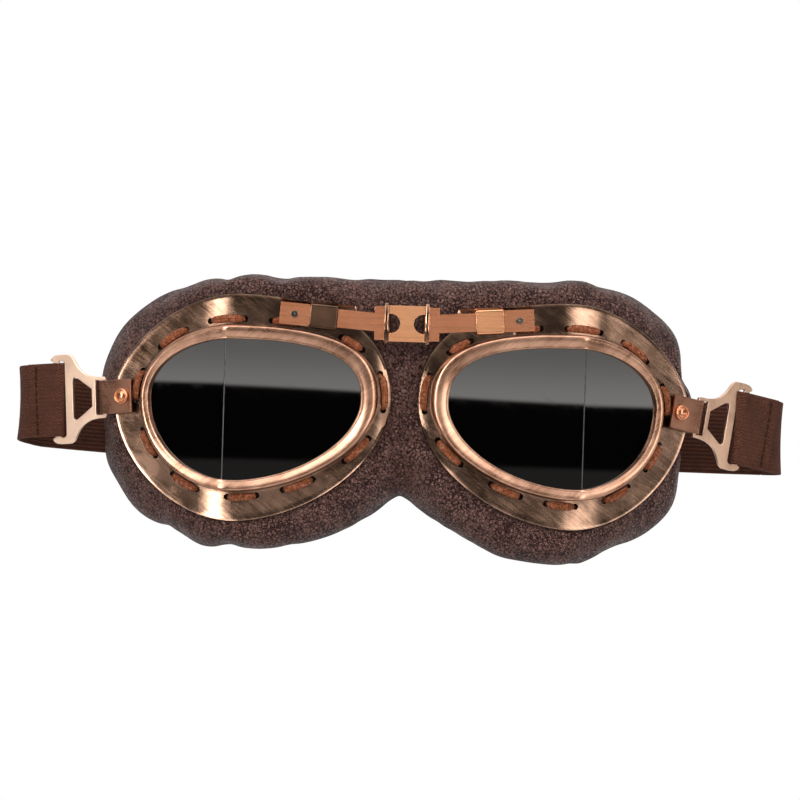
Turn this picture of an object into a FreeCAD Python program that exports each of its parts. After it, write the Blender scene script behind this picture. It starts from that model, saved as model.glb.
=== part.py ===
"""Split-lens riding goggles: two bent sheet frames on a hinged, sliding nose bridge.

Millimetres, +Z up. The goggles face -Y and are symmetric about X = 0, so "left" and "right"
are as seen from the front, -X and +X. The origin is the middle of the face seat: the rear of
the pads lies at Y = 0 beside the nose. Widths across the goggles are measured from X = 0.
"""
import FreeCAD, Part
import math
import os
import Sketcher
from FreeCAD import Placement, Rotation, Vector

SIZES = [
    ("front_plane", -26.0, "Y of the front of the frame sheet, in the flat front part"),
    ("bend_place", 60.0, "X of the vertical bend in the frame"),
    ("bend_angle", 28.0, "how far the side part is bent back, degrees"),
    ("bend_radius", 6.0, "radius of that bend"),
    ("nose_curve_place", 16.0, "X where the frame starts to curl back to the nose"),
    ("nose_curve_radius", 22.0, "radius of that curl"),
    ("nose_curve_sweep", 40.0, "how far the curl runs, degrees"),
    ("sheet_thick", 1.0, "frame sheet"),
    ("eye_x", 57.0, "X of the point the lens outlines are drawn around"),
    ("eye_z", 3.0, "Z of that point"),
    ("window_nose", 42.4, "lens window, from the eye point towards the nose"),
    ("window_outer", 28.8, "lens window, towards the temple"),
    ("window_top", 19.6, "lens window, upwards"),
    ("window_bottom", 27.2, "lens window, downwards"),
    ("rim_nose", 5.8, "face width of the bezel at the nose"),
    ("rim_outer", 2.8, "face width of the bezel at the temple"),
    ("rim_top", 4.8, "face width of the bezel at the top"),
    ("rim_bottom", 3.8, "face width of the bezel at the bottom"),
    ("flange_nose", 4.4, "width of the flange outside the bezel at the nose"),
    ("flange_outer", 7.2, "width of the flange at the temple"),
    ("flange_top", 10.3, "width of the flange at the top"),
    ("flange_bottom", 10.0, "width of the flange at the bottom"),
    ("lens_lap", 1.6, "how far the panes reach behind the bezel lip"),
    ("lens_thick", 1.6, "glass"),
    ("gasket_thick", 1.0, "gasket between the glass and the sheet"),
    ("bezel_depth", 5.0, "how far the bezel stands in front of the sheet"),
    ("seal_width", 0.9, "seal strip where the two panes meet"),
    ("fit_gap", 0.1, "clearance of pieces that are held by one another"),
    ("lace_clear", 2.0, "lacing line, outside the bezel"),
    ("lace_clear_outer", 1.4, "lacing line outside the bezel at the temple, clear of the tabs"),
    ("lace_diameter", 1.8, "lacing cord"),
    ("lace_lift", 0.3, "gap between the cord and the sheet"),
    ("lace_hole", 2.3, "holes for the cord"),
    ("ear_reach", 17.0, "X of the bridge ear's upper corner"),
    ("ear_height", 34.9, "Z of that corner"),
    ("ear_lean", 3.0, "how far the ear's edge leans to the nose"),
    ("ear_drop", 12.0, "height of that edge"),
    ("ear_run", 27.0, "length of the ear's upper edge"),
    ("ear_rise", 1.8, "how far that edge climbs"),
    ("ear_root", 9.0, "depth of the ear below its upper edge, where it joins the flange"),
    ("pad_depth", 26.0, "front of the sheet to the face"),
    ("pad_nose", 64.0, "pad outline, from the eye point past the nose"),
    ("pad_outer", 41.3, "pad outline, towards the temple"),
    ("pad_top", 42.3, "pad outline, upwards"),
    ("pad_bottom", 51.2, "pad outline, downwards"),
    ("pad_cut", 11.3, "X where the side pads stop beside the nose leather"),
    ("pad_front_gap", 0.3, "pad rim behind the sheet"),
    ("pad_hollow", 1.0, "eye hollow outside the lens window"),
    ("foam_depth", 6.0, "bare foam ring that lies on the face"),
    ("foam_inset", 3.0, "foam ring inside the pad outline"),
    ("nose_gap", 0.5, "gap between nose leather and side pads"),
    ("nose_front", 6.0, "front of the nose leather behind the sheet"),
    ("nose_rear", 1.0, "nose leather in front of the face seat"),
    ("notch_apex", -27.3, "Z of the nose notch's apex"),
    ("notch_foot", -33.3, "Z of the notch's edges"),
    ("hinge_place", 6.85, "X of the bridge hinge pins"),
    ("bridge_z", 29.3, "Z of the middle of the bridge"),
    ("arm_stand", 2.95, "middle of the arm strip in front of the sheet"),
    ("arm_tilt", 4.0, "how far the arms climb outwards, degrees"),
    ("pin_diameter", 0.9, "hinge pin"),
    ("pin_head", 1.5, "heads of the hinge pin"),
    ("pin_head_thick", 0.4, "thickness of those heads"),
    ("pin_set", 1.15, "hinge pins behind the middle of the arm strip"),
    ("knuckle_diameter", 1.7, "hinge knuckles"),
    ("pin_bore", 1.05, "bore of the knuckles"),
    ("tongue_set", 0.1, "back of the hinge tongues in front of the pin's axis"),
    ("leaf_thick", 0.8, "bridge plates"),
    ("link_width", 11.0, "link plate across"),
    ("link_height", 12.0, "link plate up and down"),
    ("notch_radius", 3.2, "half-round notches in the link"),
    ("knuckle_gap", 0.25, "end gap between knuckles"),
    ("head_start", 0.65, "T-head's edge, from the pin"),
    ("head_width", 3.3, "T-head across"),
    ("head_height", 11.2, "T-head up and down"),
    ("strip_height", 6.1, "arm strip up and down"),
    ("strip_thick", 0.9, "arm strip"),
    ("sleeve_place", 16.2, "near end of the sleeve, from the pin"),
    ("sleeve_length", 9.2, "sleeve along the arm"),
    ("sleeve_wall", 0.8, "sleeve wall"),
    ("sleeve_gap", 0.2, "clearance of the arm in the sleeve"),
    ("stop_gap", 0.3, "gap between the sleeve and the stop at rest"),
    ("stop_length", 9.8, "folded stop on the arm's end"),
    ("stop_height", 7.3, "that stop up and down"),
    ("screw_head", 2.4, "stop screw's head"),
    ("screw_head_thick", 0.5, "that head"),
    ("screw_shank", 1.3, "stop screw's shank"),
    ("screw_slot", 0.35, "cross slots in the head"),
    ("rivet_x", 93.0, "X of the tab rivets"),
    ("rivet_z", 2.5, "Z of the tab rivets"),
    ("rivet_head", 5.0, "dome of the rivet"),
    ("rivet_dome", 1.5, "height of the dome"),
    ("rivet_crown", 1.0, "radius of the dome's nearly flat crown"),
    ("rivet_crown_drop", 0.12, "how far the crown's edge lies below its top"),
    ("rivet_shoulder", 1.8, "radius of the dome's shoulder"),
    ("rivet_shoulder_drop", 0.57, "how far the shoulder lies below the top"),
    ("rivet_shank", 2.2, "rivet's shank"),
    ("rivet_tail", 3.6, "rivet's tail behind the sheet"),
    ("rivet_tail_thick", 0.6, "that tail"),
    ("rivet_gap", 0.15, "clearance of the tab on the rivet"),
    ("tab_height", 11.3, "strap tab up and down"),
    ("tab_thick", 0.9, "strap tab sheet"),
    ("tab_fold", 0.9, "inner radius of the tab's fold"),
    ("tab_lift", 0.1, "tab in front of the sheet"),
    ("tab_length", 7.9, "rivet to the fold's axis"),
    ("tab_inner", 3.4, "rivet to the tab's inner end"),
    ("tab_under", 2.3, "radius of the under layer's round end, about the rivet"),
    ("left_droop", 4.0, "how far the left tab hangs down, degrees"),
    ("right_droop", 10.0, "how far the right tab hangs down, degrees"),
    ("buckle_thick", 1.2, "buckle plate"),
    ("buckle_near_bar", 1.2, "buckle bar inside the tab"),
    ("buckle_near_half", 7.0, "half height of the buckle beside the tab"),
    ("buckle_rail", 1.0, "rails beside the near slot"),
    ("buckle_slot_end", 3.4, "outer end of the near slot, from the bar's axis"),
    ("window_start", 5.0, "narrow end of the buckle window"),
    ("window_start_half", 3.2, "half height of that end"),
    ("window_end", 12.6, "wide end of the buckle window"),
    ("window_end_half", 7.0, "half height of that end"),
    ("neck_end", 9.0, "where the buckle starts to widen"),
    ("neck_half", 8.2, "half height there"),
    ("lug_start", 12.8, "inner side of the lugs"),
    ("lug_half", 14.5, "half height over the lugs"),
    ("lug_bevel", 2.0, "bevel of the lugs"),
    ("strap_slot_start", 15.6, "inner side of the strap slot"),
    ("strap_slot_end", 18.0, "outer side of the strap slot"),
    ("buckle_end", 20.0, "outer end of the buckle"),
    ("strap_width", 25.0, "elastic strap"),
    ("strap_slot_gap", 0.7, "strap slot above and below the strap"),
    ("strap_thick", 1.4, "elastic strap"),
    ("strap_loop_radius", 0.8, "inner radius of the sewn loop"),
    ("strap_loop_place", 18.4, "axis of that loop, from the buckle's near bar"),
    ("strap_seam_end", 29.5, "end of the sewn lap"),
    ("strap_turn_end", 112.0, "X where the turn meets the rear band"),
    ("band_y", 25.0, "Y of the rear band's middle"),
    ("band_z", -6.0, "Z of the rear band's middle"),
    ("band_lap", 30.0, "how far each rear band runs past the middle"),
    ("band_gap", 0.9, "gap between the lapped bands"),
    ("slider_width", 8.0, "strap slider along the strap"),
    ("slider_wall", 1.6, "slider wall"),
    ("slider_gap", 0.9, "clearance of the bands in the slider"),
]

# Exponents of the four quarters of an outline: nose top, nose bottom, outer top, outer bottom
WINDOW_ROUND = (2.7, 1.8, 2.0, 2.05)
LACE_ROUND = (2.5, 1.8, 1.9, 1.95)
FLANGE_ROUND = (2.4, 1.8, 1.72, 1.87)
PAD_ROUND = (10.0, 2.0, 2.2, 2.15)

# Directions of the lacing holes around the eye point, degrees from the temple over the top
LACE_STITCHES = [
    (33, 54), (72, 97), (115, 130), (149, 158), (169, 183), (195, 208),
    (224, 240), (255, 272), (290, 307), (322, 339), (357, 375),
]

LACE_TAIL = 6  # how far each end of the cord runs behind the sheet, degrees
LACE_CORNER_SHARE = 0.45  # share of a run that each of its corner arcs takes
OUTLINE_STEPS = 96
TALL = 160.0  # longer than any piece, for bars that are cut to length
SHEET_SPARE = 10.0  # how far the bent form runs past the pads
SLOPE_STEP = 0.01

doc = FreeCAD.newDocument("goggles")
sheet = doc.addObject("Spreadsheet::Sheet", "Sizes")
for row, (alias, value, what) in enumerate(SIZES, start=1):
    sheet.set(f"A{row}", what)
    sheet.set(f"B{row}", str(value))
    sheet.setAlias(f"B{row}", alias)
doc.recompute()


def size(alias):
    """A driving dimension as a number."""
    return float(sheet.get(alias))


def with_sheet(expression):
    """An expression with the sheet's name in front of each alias."""
    known = {alias for alias, _, _ in SIZES}
    words = expression.replace("(", " ( ").replace(")", " ) ").split()
    named = " ".join(f"Sizes.{word}" if word in known else word for word in words)
    return named.replace("cos (", "cos(").replace("sin (", "sin(")


def bind(item, **expressions):
    """Bind properties to expressions of sheet cells; x, y and z stand for the placement's."""
    for prop, expression in expressions.items():
        name = f"Placement.Base.{prop}" if prop in ("x", "y", "z") else prop
        item.setExpression(name, with_sheet(expression))


# Outlines of the frame, drawn around the eye point and bent with the sheet

def outline_point(reach, rounding, direction):
    """X and Z of an outline in one direction; reach is (nose, outer, top, bottom)."""
    nose, outer, top, bottom = reach
    turn = math.radians(direction)
    across = math.cos(turn)
    up = math.sin(turn)
    half_x = outer if across >= 0 else nose
    half_z = top if up >= 0 else bottom
    quarter = (2 if across >= 0 else 0) + (0 if up >= 0 else 1)
    power = rounding[quarter]
    far = (abs(across / half_x) ** power + abs(up / half_z) ** power) ** (-1.0 / power)
    return size("eye_x") + far * across, size("eye_z") + far * up


def widened(reach, by):
    """An outline's reach made larger all round."""
    return tuple(one + by for one in reach)


def window_reach():
    return tuple(size(f"window_{way}") for way in ("nose", "outer", "top", "bottom"))


def bezel_reach():
    rims = (size(f"rim_{way}") for way in ("nose", "outer", "top", "bottom"))
    return tuple(one + rim for one, rim in zip(window_reach(), rims))


def flange_reach():
    widths = (size(f"flange_{way}") for way in ("nose", "outer", "top", "bottom"))
    return tuple(one + width for one, width in zip(bezel_reach(), widths))


def pad_reach():
    return tuple(size(f"pad_{way}") for way in ("nose", "outer", "top", "bottom"))


def prism(reach, rounding):
    """A bar along Y with the given outline."""
    points = []
    for step in range(OUTLINE_STEPS):
        x, z = outline_point(reach, rounding, 360.0 * step / OUTLINE_STEPS)
        points.append(Vector(x, -TALL / 2, z))
    curve = Part.BSplineCurve()
    curve.interpolate(Points=points, PeriodicFlag=True)
    face = Part.Face(Part.Wire(curve.toShape()))
    return face.extrude(Vector(0, TALL, 0))


def polygon_bar(corners):
    """A bar along Y over a polygon of X, Z corners."""
    points = [Vector(x, -TALL / 2, z) for x, z in corners]
    face = Part.Face(Part.makePolygon(points + points[:1]))
    return face.extrude(Vector(0, TALL, 0))


def side_end():
    """X of the far end of the bent sheet, past every piece that follows it."""
    return size("eye_x") + size("pad_outer") + SHEET_SPARE


def sheet_depth(x):
    """How far the bent sheet lies behind its flat front part at one X."""
    slope = math.tan(math.radians(size("bend_angle")))
    radius = size("bend_radius")
    start = size("bend_place") - radius * math.tan(math.radians(size("bend_angle")) / 2)
    arc_end = start + radius * math.sin(math.radians(size("bend_angle")))
    curl = size("nose_curve_place") - x
    if curl > 0:
        return size("nose_curve_radius") - math.sqrt(size("nose_curve_radius") ** 2 - curl ** 2)
    if x <= start:
        return 0.0
    if x < arc_end:
        return radius - math.sqrt(radius ** 2 - (x - start) ** 2)
    return (x - size("bend_place")) * slope


def sheet_normal(x):
    """The direction straight out of the front of the sheet at one X."""
    rise = (sheet_depth(x + SLOPE_STEP) - sheet_depth(x - SLOPE_STEP)) / (2 * SLOPE_STEP)
    normal = Vector(rise, -1, 0)
    return normal.normalize()


def on_sheet(x, z, ahead):
    """A point ahead of the front of the sheet, along its normal."""
    return Vector(x, size("front_plane") + sheet_depth(x), z) + sheet_normal(x) * ahead


def sheet_edges(behind):
    """The sheet's section in plan, moved back, from the nose to the temple."""
    y = size("front_plane") + behind
    curl = size("nose_curve_radius")
    curl_x = size("nose_curve_place")
    radius = size("bend_radius")
    angle = math.radians(size("bend_angle"))
    start = size("bend_place") - radius * math.tan(angle / 2)

    def curl_point(degrees):
        turn = math.radians(degrees)
        return Vector(curl_x - curl * math.sin(turn), y + curl - curl * math.cos(turn), 0)

    def bend_point(turn):
        return Vector(start + radius * math.sin(turn), y + radius - radius * math.cos(turn), 0)

    sweep = size("nose_curve_sweep")
    far = Vector(side_end(), y + (side_end() - size("bend_place")) * math.tan(angle), 0)
    return [
        Part.Arc(curl_point(sweep), curl_point(sweep / 2), curl_point(0)).toShape(),
        Part.makeLine(curl_point(0), bend_point(0)),
        Part.Arc(bend_point(0), bend_point(angle / 2), bend_point(angle)).toShape(),
        Part.makeLine(bend_point(angle), far),
    ]


def slab(front, back):
    """The bent sheet's form between two depths behind the front of the frame sheet."""
    ahead = sheet_edges(front)
    behind = sheet_edges(back)
    ends = [
        Part.makeLine(ahead[-1].lastVertex().Point, behind[-1].lastVertex().Point),
        Part.makeLine(ahead[0].firstVertex().Point, behind[0].firstVertex().Point),
    ]
    face = Part.Face(Part.Wire(Part.__sortEdges__(ahead + behind + ends)))
    bar = face.extrude(Vector(0, 0, TALL))
    bar.translate(Vector(0, 0, -TALL / 2))
    return bar


def ring(outer, inner, front, back):
    """A bent ring between two bars along Y and two depths."""
    return outer.cut(inner).common(slab(front, back))


def coded(name, shape):
    """A document object for a shape that follows the bent outline."""
    item = doc.addObject("Part::Feature", name)
    item.Label = name
    item.Shape = shape
    return item


def mirrored(name, source):
    """The left-hand copy of a right-hand piece."""
    item = doc.addObject("Part::Mirroring", name)
    item.Label = name
    item.Source = source
    item.Normal = Vector(1, 0, 0)
    item.Base = Vector(0, 0, 0)
    return item


nodes = {}
SIDES = {"left": -1, "right": 1}


def pair(name, source):
    """Keep a right-hand piece and its mirror image."""
    nodes["right_" + name] = source
    nodes["left_" + name] = mirrored("left_" + name, source)


# Frame sheets, bezels, panes and pads

def lace_reach():
    nose, outer, top, bottom = widened(bezel_reach(), size("lace_clear"))
    return nose, outer - size("lace_clear") + size("lace_clear_outer"), top, bottom


def lace_holes():
    """The bars of the lacing holes, along the sheet's normal."""
    bars = []
    for stitch in LACE_STITCHES:
        for direction in stitch:
            x, z = outline_point(lace_reach(), LACE_ROUND, direction)
            start = on_sheet(x, z, 3 * size("sheet_thick"))
            axis = sheet_normal(x) * -1
            bars.append(Part.makeCylinder(size("lace_hole") / 2, 6 * size("sheet_thick"), start, axis))
    return bars


def rivet_seat():
    """The point on the front of the sheet under the right rivet."""
    return on_sheet(size("rivet_x"), size("rivet_z"), 0.0)


def rivet_bar(radius):
    """A bar on the rivet's axis, through the sheet and a little way behind it."""
    normal = sheet_normal(size("rivet_x"))
    start = rivet_seat() + normal * 3 * size("sheet_thick")
    return Part.makeCylinder(radius, 6 * size("sheet_thick"), start, normal * -1)


def frame_flange():
    reach = size("ear_reach")
    height = size("ear_height")
    far = reach + size("ear_run")
    ear = polygon_bar([
        (reach, height),
        (reach - size("ear_lean"), height - size("ear_drop")),
        (far, height + size("ear_rise") - size("ear_root")),
        (far, height + size("ear_rise")),
    ])
    opening = prism(widened(window_reach(), size("fit_gap")), WINDOW_ROUND)
    plate = prism(flange_reach(), FLANGE_ROUND).fuse(ear)
    flange = ring(plate, opening, 0, size("sheet_thick"))
    bore = rivet_bar(size("rivet_shank") / 2 + size("fit_gap"))
    return flange.cut(lace_holes() + [bore])


def lens_reach():
    return widened(window_reach(), size("lens_lap"))


def lens_bezel():
    outer = prism(bezel_reach(), WINDOW_ROUND)
    opening = prism(window_reach(), WINDOW_ROUND)
    seat = prism(widened(lens_reach(), size("fit_gap")), WINDOW_ROUND)
    seat_front = -(size("gasket_thick") + size("lens_thick") + size("fit_gap"))
    body = ring(outer, opening, -size("bezel_depth"), -size("fit_gap"))
    recess = seat.common(slab(seat_front, size("sheet_thick")))
    return body.cut(recess)


def pane(side):
    """The flat front pane (side -1) or the bent-back side pane (side +1)."""
    glass = prism(lens_reach(), WINDOW_ROUND).common(
        slab(-(size("gasket_thick") + size("lens_thick")), -size("gasket_thick")))
    edge = size("bend_place") + side * size("seal_width") / 2
    low = edge if side > 0 else edge - TALL
    keep = Part.makeBox(TALL, TALL, TALL, Vector(low, -TALL / 2, -TALL / 2))
    return glass.common(keep)


def lens_seal():
    glass = prism(lens_reach(), WINDOW_ROUND).common(
        slab(-(size("gasket_thick") + size("lens_thick")), -size("gasket_thick")))
    width = size("seal_width") - 2 * size("fit_gap")
    keep = Part.makeBox(width, TALL, TALL, Vector(size("bend_place") - width / 2, -TALL / 2, -TALL / 2))
    return glass.common(keep)


def lens_gasket():
    outer = prism(lens_reach(), WINDOW_ROUND)
    opening = prism(widened(window_reach(), size("fit_gap")), WINDOW_ROUND)
    return ring(outer, opening, -size("gasket_thick") + size("fit_gap") / 2, -size("fit_gap") / 2)


def beside_nose(shape):
    """Cut a pad off beside the nose leather."""
    keep = Part.makeBox(TALL, TALL, TALL, Vector(size("pad_cut"), -TALL / 2, -TALL / 2))
    return shape.common(keep)


def lace_depth():
    """Depth along Y behind the front of the sheet that the cord's rear runs need."""
    straight = size("sheet_thick") + 2 * size("lace_lift") + size("lace_diameter")
    return straight / math.cos(math.radians(size("bend_angle")))


def pad_cover():
    outer = prism(pad_reach(), PAD_ROUND)
    hollow = prism(widened(window_reach(), size("pad_hollow")), WINDOW_ROUND)
    rim = prism(widened(lace_reach(), size("lace_diameter")), LACE_ROUND)
    back = size("pad_depth") - size("foam_depth") - size("fit_gap")
    body = ring(outer, hollow, size("sheet_thick") + size("pad_front_gap"), back)
    rebate = rim.common(slab(0, lace_depth()))
    tail_room = rivet_bar(size("rivet_tail") / 2 + size("pad_front_gap"))
    return beside_nose(body.cut([rebate, tail_room]))


def face_foam():
    outer = prism(widened(pad_reach(), -size("foam_inset")), PAD_ROUND)
    hollow = prism(widened(window_reach(), size("pad_hollow")), WINDOW_ROUND)
    return beside_nose(ring(outer, hollow, size("pad_depth") - size("foam_depth"), size("pad_depth")))


# The lacing cord, a running stitch through the sheet

def lace_route():
    """Corner points of the route: front runs over the sheet, rear runs behind it."""
    lift = size("lace_lift") + size("lace_diameter") / 2
    front = lift
    rear = -(size("sheet_thick") + lift)
    bend = size("bend_place")
    route = []

    def hole(direction, ahead):
        x, z = outline_point(lace_reach(), LACE_ROUND, direction)
        return on_sheet(x, z, ahead)

    def crossing(first, second, ahead):
        """A middle point where a run crosses the bend."""
        a = hole(first, ahead)
        b = hole(second, ahead)
        if (a.x - bend) * (b.x - bend) > 0:
            return []
        share = (bend - a.x) / (b.x - a.x)
        return [on_sheet(bend, a.z + share * (b.z - a.z), ahead)]

    for (first, second), (following, _) in zip(LACE_STITCHES, LACE_STITCHES[1:] + LACE_STITCHES[:1]):
        route += [hole(first, rear), hole(first, front)]
        route += crossing(first, second, front)
        route += [hole(second, front), hole(second, rear)]
        route += crossing(second, following, rear)
    first_end = hole(LACE_STITCHES[0][0] - LACE_TAIL, rear)
    last_end = hole(LACE_STITCHES[-1][1] + LACE_TAIL, rear)
    return [first_end] + route + [last_end]


def rounded_wire(points, share):
    """An open wire of straight runs joined by tangent arcs."""
    edges = []
    start = points[0]
    for before_point, here, after_point in zip(points, points[1:], points[2:]):
        before = before_point - here
        after = after_point - here
        cut = share * min(before.Length, after.Length)
        entry = here + before.normalize() * cut
        leave = here + after.normalize() * cut
        half = (before + after).normalize()
        opening = before.getAngle(after) / 2
        radius = cut * math.tan(opening)
        middle = here + half * (radius / math.sin(opening) - radius)
        edges.append(Part.makeLine(start, entry))
        edges.append(Part.Arc(entry, middle, leave).toShape())
        start = leave
    edges.append(Part.makeLine(start, points[-1]))
    return Part.Wire(edges)


def lacing_cord():
    wire = rounded_wire(lace_route(), LACE_CORNER_SHARE)
    first = wire.Edges[0]
    start = first.valueAt(first.FirstParameter)
    section = Part.makeCircle(size("lace_diameter") / 2, start, first.tangentAt(first.FirstParameter))
    return wire.makePipeShell([Part.Wire(section)], True, True)


pair("frame_flange", coded("right_frame_flange", frame_flange()))
pair("lens_bezel", coded("right_lens_bezel", lens_bezel()))
pair("front_lens", coded("right_front_lens", pane(-1)))
pair("side_lens", coded("right_side_lens", pane(1)))
pair("lens_seal", coded("right_lens_seal", lens_seal()))
pair("lens_gasket", coded("right_lens_gasket", lens_gasket()))
pair("pad_cover", coded("right_pad_cover", pad_cover()))
pair("face_foam", coded("right_face_foam", face_foam()))
pair("lacing_cord", coded("right_lacing_cord", lacing_cord()))


# Sketched pieces

def origin_plane(body, role):
    return next(one for one in body.Origin.OriginFeatures if one.Role == role)


def new_body(name):
    body = doc.addObject("PartDesign::Body", name)
    body.Label = name
    return body


def polygon_sketch(body, name, role, corners):
    """A closed sketch whose every corner is bound to two sheet expressions."""
    sketch = body.newObject("Sketcher::SketchObject", name)
    sketch.AttachmentSupport = [(origin_plane(body, role), "")]
    sketch.MapMode = "FlatFace"
    places = []
    for corner in corners:
        places.append([float(sketch.evalExpression(with_sheet(one))) for one in corner])
    points = [Vector(across, up, 0) for across, up in places]
    count = len(corners)
    for number in range(count):
        sketch.addGeometry(Part.LineSegment(points[number], points[(number + 1) % count]), False)
    for number in range(count):
        sketch.addConstraint(Sketcher.Constraint("Coincident", number, 2, (number + 1) % count, 1))
    for number, corner in enumerate(corners):
        for kind, expression, value in zip(("DistanceX", "DistanceY"), corner, places[number]):
            rule = sketch.addConstraint(Sketcher.Constraint(kind, -1, 1, number, 1, value))
            sketch.setExpression(f"Constraints[{rule}]", with_sheet(expression))
    return sketch


def padded(body, sketch, length):
    """Pad a sketch evenly to both sides of its plane."""
    pad = body.newObject("PartDesign::Pad", sketch.Name + "_pad")
    pad.Profile = sketch
    pad.Midplane = True
    pad.setExpression("Length", with_sheet(length))
    doc.recompute()
    return pad


def pocketed(body, sketch):
    """Cut a sketch right through a body, both ways, and make sure that it cut."""
    before = body.Shape.Volume
    pocket = body.newObject("PartDesign::Pocket", sketch.Name + "_pocket")
    pocket.Profile = sketch
    pocket.Type = "ThroughAll"
    pocket.Midplane = True
    doc.recompute()
    if body.Shape.Volume >= before:
        raise RuntimeError(f"{sketch.Name} cut nothing")
    return pocket


def revolved(body, sketch):
    """Turn a sketch round the upright axis of its plane."""
    turn = body.newObject("PartDesign::Revolution", sketch.Name + "_turn")
    turn.Profile = sketch
    turn.ReferenceAxis = (sketch, ["V_Axis"])
    turn.Angle = 360.0
    doc.recompute()
    return turn


def rectangle(left, right, low, high):
    """Corners of an upright rectangle, as expressions."""
    return [(left, low), (right, low), (right, high), (left, high)]


# Part primitives

def box(name, length, width, height, x, y, z):
    item = doc.addObject("Part::Box", name)
    bind(item, Length=length, Width=width, Height=height, x=x, y=y, z=z)
    return item


def cylinder(name, radius, height, x, y, z, axis=None):
    """A cylinder along Z, or along Y when axis is "Y"."""
    item = doc.addObject("Part::Cylinder", name)
    if axis == "Y":
        item.Placement = Placement(Vector(), Rotation(Vector(1, 0, 0), -90))
    bind(item, Radius=radius, Height=height, x=x, y=y, z=z)
    return item


def fused(name, pieces):
    item = doc.addObject("Part::MultiFuse", name)
    item.Shapes = pieces
    return item


def cut(name, base, tools):
    """The base less its tools."""
    tool = tools[0] if len(tools) == 1 else fused(name + "_tools", tools)
    item = doc.addObject("Part::Cut", name)
    item.Base = base
    item.Tool = tool
    item.Label = name
    return item


def at_pin(item, side):
    """Put a piece drawn around a hinge pin on the right (1), the left (-1) or the middle (0)."""
    bind(item, x=f"{side} * hinge_place", y="front_plane - arm_stand + pin_set", z="bridge_z")


# Nose bridge

LEAF_FRONT = "0 - pin_set - strip_thick / 2"


def knuckle(name, pin_x, tongue_start, tongue_length, low, high):
    """A barrel round a pin and the tongue that joins it to its leaf, between two heights."""
    height = f"{high} - ( {low} )"
    depth = "pin_set + strip_thick / 2 - leaf_thick / 2 - tongue_set"
    return [
        cylinder(name + "_barrel", "knuckle_diameter / 2", height, pin_x, "0", low),
        box(name + "_tongue", tongue_length, depth, height,
            tongue_start, f"{LEAF_FRONT} + leaf_thick / 2", low),
    ]


def bridge_link():
    pieces = [box("link_leaf", "link_width", "leaf_thick", "link_height",
                  "0 - link_width / 2", LEAF_FRONT, "0 - link_height / 2")]
    tools = []
    reach = "hinge_place - link_width / 4"
    for side, pin_x, start in (("left", "0 - hinge_place", "0 - hinge_place"),
                               ("right", "hinge_place", "link_width / 4")):
        pieces += knuckle(f"link_{side}_upper", pin_x, start, reach, "notch_radius", "link_height / 2")
        pieces += knuckle(f"link_{side}_lower", pin_x, start, reach,
                          "0 - link_height / 2", "0 - notch_radius")
        edge = "0 - link_width / 2" if side == "left" else "link_width / 2"
        tools.append(cylinder(f"link_{side}_notch", "notch_radius", "6 * pin_set",
                              edge, "0 - 3 * pin_set", "0", "Y"))
        tools.append(cylinder(f"link_{side}_bore", "pin_bore / 2", "2 * link_height",
                              pin_x, "0", "0 - link_height"))
    link = cut("bridge_link", fused("link_solid", pieces), tools)
    at_pin(link, 0)
    return link


def tilted(item):
    """Turn a piece drawn around the right pin to the climb of the arms."""
    item.Placement = Placement(Vector(), Rotation(Vector(0, 1, 0), -1))
    item.setExpression("Placement.Rotation.Angle", with_sheet("0 - arm_tilt"))
    return item


STOP_START = "sleeve_place + sleeve_length + stop_gap"


def bridge_arm():
    head = box("arm_head", "head_width", "leaf_thick", "head_height",
               "head_start", LEAF_FRONT, "0 - head_height / 2")
    barrel = knuckle("arm_middle", "0", "0", "head_start + head_width / 2",
                     "0 - notch_radius + knuckle_gap", "notch_radius - knuckle_gap")
    strip = box("arm_strip", f"{STOP_START} + stop_length - head_start - head_width / 2",
                "strip_thick", "strip_height",
                "head_start + head_width / 2", LEAF_FRONT, "0 - strip_height / 2")
    stop = box("arm_stop", "stop_length", "2 * strip_thick", "stop_height",
               STOP_START, f"{LEAF_FRONT} - strip_thick", "0 - stop_height / 2")
    hole = cylinder("arm_screw_hole", "screw_shank / 2 + fit_gap", "6 * strip_thick",
                    f"{STOP_START} + stop_length / 2", f"{LEAF_FRONT} - 3 * strip_thick", "0", "Y")
    reach = tilted(cut("arm_reach", fused("arm_reach_solid", [strip, stop]), [hole]))
    bore = cylinder("arm_bore", "pin_bore / 2", "2 * head_height", "0", "0", "0 - head_height")
    arm = cut("right_bridge_arm", fused("arm_solid", [head, reach] + barrel), [bore])
    at_pin(arm, 1)
    return arm


def bridge_sleeve():
    half = "( strip_height / 2 + sleeve_gap )"
    way_front = f"{LEAF_FRONT} - sleeve_gap"
    shell = box("sleeve_shell", "sleeve_length", "arm_stand + strip_thick / 2 + sleeve_gap + sleeve_wall",
                f"2 * {half} + 2 * sleeve_wall",
                "sleeve_place", f"{way_front} - sleeve_wall", f"0 - {half} - sleeve_wall")
    way = box("sleeve_way", "2 * sleeve_length", "strip_thick + 2 * sleeve_gap", f"2 * {half}",
              "sleeve_place - sleeve_length / 2", way_front, f"0 - {half}")
    sleeve = tilted(cut("right_bridge_sleeve", shell, [way]))
    at_pin(sleeve, 1)
    return sleeve


def hinge_pin(name, side):
    """A headed pin, turned about its own axis."""
    body = new_body(name)
    half = "( link_height / 2 + fit_gap )"
    end = f"( {half} + pin_head_thick )"
    corners = [
        ("0", f"0 - {end}"), ("pin_head / 2", f"0 - {end}"), ("pin_head / 2", f"0 - {half}"),
        ("pin_diameter / 2", f"0 - {half}"), ("pin_diameter / 2", half),
        ("pin_head / 2", half), ("pin_head / 2", end), ("0", end),
    ]
    revolved(body, polygon_sketch(body, name + "_half", "XZ_Plane", corners))
    at_pin(body, side)
    return body


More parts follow.
